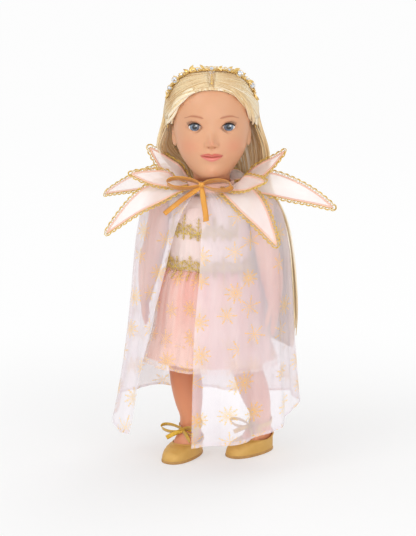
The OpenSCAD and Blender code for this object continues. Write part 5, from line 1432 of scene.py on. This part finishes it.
collar = Sizes(z=315.0, h=12.0, inR=22.6, outR=26.6, reach=140.0, lowerW=29.0, upperW=22.0, upperBase=0.75,
               lowerBase=0.36, binding=2.1, pitch=7.2, loopH=4.1, cord=0.54, roll=50.0, lift=0.6,
               bindT=0.9, footR=0.6,
               petals=[[-60, 1, 0.4, 0.65, 0, 1], [60, 1, 0.4, 0.65, 0, 1], [-96, 1, 0.36, 0.56, 0, 2.9],
                       [96, 1, 0.38, 0.605, 0, 3.2], [-150, 1, 0.33, 0.4, 0.75, -0.2],
                       [150, 1, 0.33, 0.4, 0.75, -0.2], [-56, 0, 0.5, 0.865, 0, -4],
                       [56, 0, 0.5, 0.865, 0, -4], [-98, 0, 0.52, 1, 0.6, -1.6], [98, 0, 0.52, 1, 0.6, -1.6],
                       [-145, 0, 0.32, 0.42, 0.85, -1.7], [145, 0, 0.32, 0.42, 0.85, -1.7]])


def petalAt(row, t, k):  # point along a petal's bent line and across it, rolled towards the front at the sides
    angle, upper, bendR, tipR, bendZ, tipZ = row
    width = collar.upperW if upper else collar.lowerW
    z0 = collar.z + collar.h * (collar.upperBase if upper else collar.lowerBase)
    r0 = collar.outR + 0.4

    def bent(a, b, c):
        return mixed(mixed(a, b, t), mixed(b, c, t), t)
    r = bent(r0, collar.reach * bendR, collar.reach * tipR)
    z = bent(z0, z0 + collar.h * bendZ, z0 + collar.h * tipZ)
    half = width / 2 * maximum(hump(0.12 + 0.872 * t) ** 0.8, 0.02)
    ripple = 0.5 * sin(t * 11 + row[0]) * np.abs(k) * hump(t)
    turn = radians(collar.roll) * sin(radians(angle)) * smooth(t * 2.5)
    mid = z + half * collar.lift * np.abs(sin(turn)) - width * 0.05 * np.abs(k) * hump(t)
    return turned(stack(half * k * cos(turn), -r, mid + half * k * sin(turn) + ripple), angle)


def makePetals():
    for number, row in enumerate(collar.petals, 1):
        t = steps(60)
        k = linspace(1, -1, 21)[None]
        grid = petalAt(row, t, k)
        obj = piece("petal%d" % number, surface(grid), petalSheer, "torso", ["petal_%d" % number],
                    "petal_organza")
        there = linspace(0.02, 1, 240)
        edge = concatenate([petalAt(row, there, 1.0), petalAt(row, there[::-1][1:], -1.0)])
        gone = concatenate([[0], np.cumsum(np.linalg.norm(np.diff(edge, axis=0), axis=1))])
        s = np.arange(0, gone[-1], collar.pitch / 14)
        line = np.stack([np.interp(s, gone, edge[:, c]) for c in range(3)], 1)
        along = unit(np.gradient(line, axis=0))
        at = np.interp(s, gone, concatenate([there, there[::-1][1:]]))
        normal = unit(np.cross(petalAt(row, at, 0.5) - petalAt(row, at, -0.5),
                               petalAt(row, at + 0.02, 0.0) - petalAt(row, at - 0.02, 0.0)))
        outward = unit(np.cross(along, normal))
        outward = outward * where(((line - petalAt(row, at, 0.0)) * outward).sum(1).mean() > 0, 1, -1)
        bound = line - outward * collar.binding * 0.4
        piece("petalBinding%d" % number, strip(bound, outward, collar.binding, collar.bindT), collarSatin,
              "torso", slotName="petal_organza")
        phase = 2 * pi * s / collar.pitch
        tall = collar.loopH
        loops = line + outward * (tall * (0.55 + 0.45 * np.abs(sin(phase / 2))))[:, None]
        zigzag = line + outward * (tall * (0.42 - 0.4 * cos(phase)))[:, None] + normal * 0.3
        foot = line + outward * (0.15 + 0.3 * sin(phase * 2))[:, None] + normal * 0.7
        face = tuple(normal.mean(0))
        trim = [tube(loops, collar.cord, 5, up=face), tube(zigzag, collar.cord * 0.8, 5, up=face),
                tube(foot, collar.footR, 5, up=face)]
        piece("petalTrim%d" % number, trim, goldThread, "torso", slotName="petal_organza")
        area = areaOf(grid)
        tall = lengthOf(grid[:, 10])


def makeCollar():
    a = around(160)[None]
    mid, half = (collar.inR + collar.outR) / 2, (collar.outR - collar.inR) / 2
    q = around(28)[:, None]
    grow = 1 + 0.05 * cos(a * 38)
    r = mid + half * power(cos(q), 0.5) * grow
    z = collar.z + collar.h / 2 * (1 + power(sin(q), 0.5) * 0.98)
    grid = stack(r * sin(a), -r * cos(a), z + 0 * a)
    piece("collarBand", surface(concatenate([grid, grid[:1]]), wrap=True), collarSatin, "torso",
          ["collar_band"], "collar_satin")


makePetals()
makeCollar()
print("collar made")

# joint hardware keeps its own solids

moulded = ["neck_post", "right_shoulder_cup", "left_shoulder_cup", "right_hip_cup", "left_hip_cup",
           "right_arm_stem", "left_arm_stem", "right_leg_stem", "left_leg_stem", "eye_bracket", "neck_ring"]
for names, finish in ((moulded, plastic), (["neck_washer", "eye_axle", "eye_weight"], steel)):
    for name in names:
        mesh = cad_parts[name].data
        mesh.materials.clear()
        mesh.materials.append(finish)

print("all pieces made")
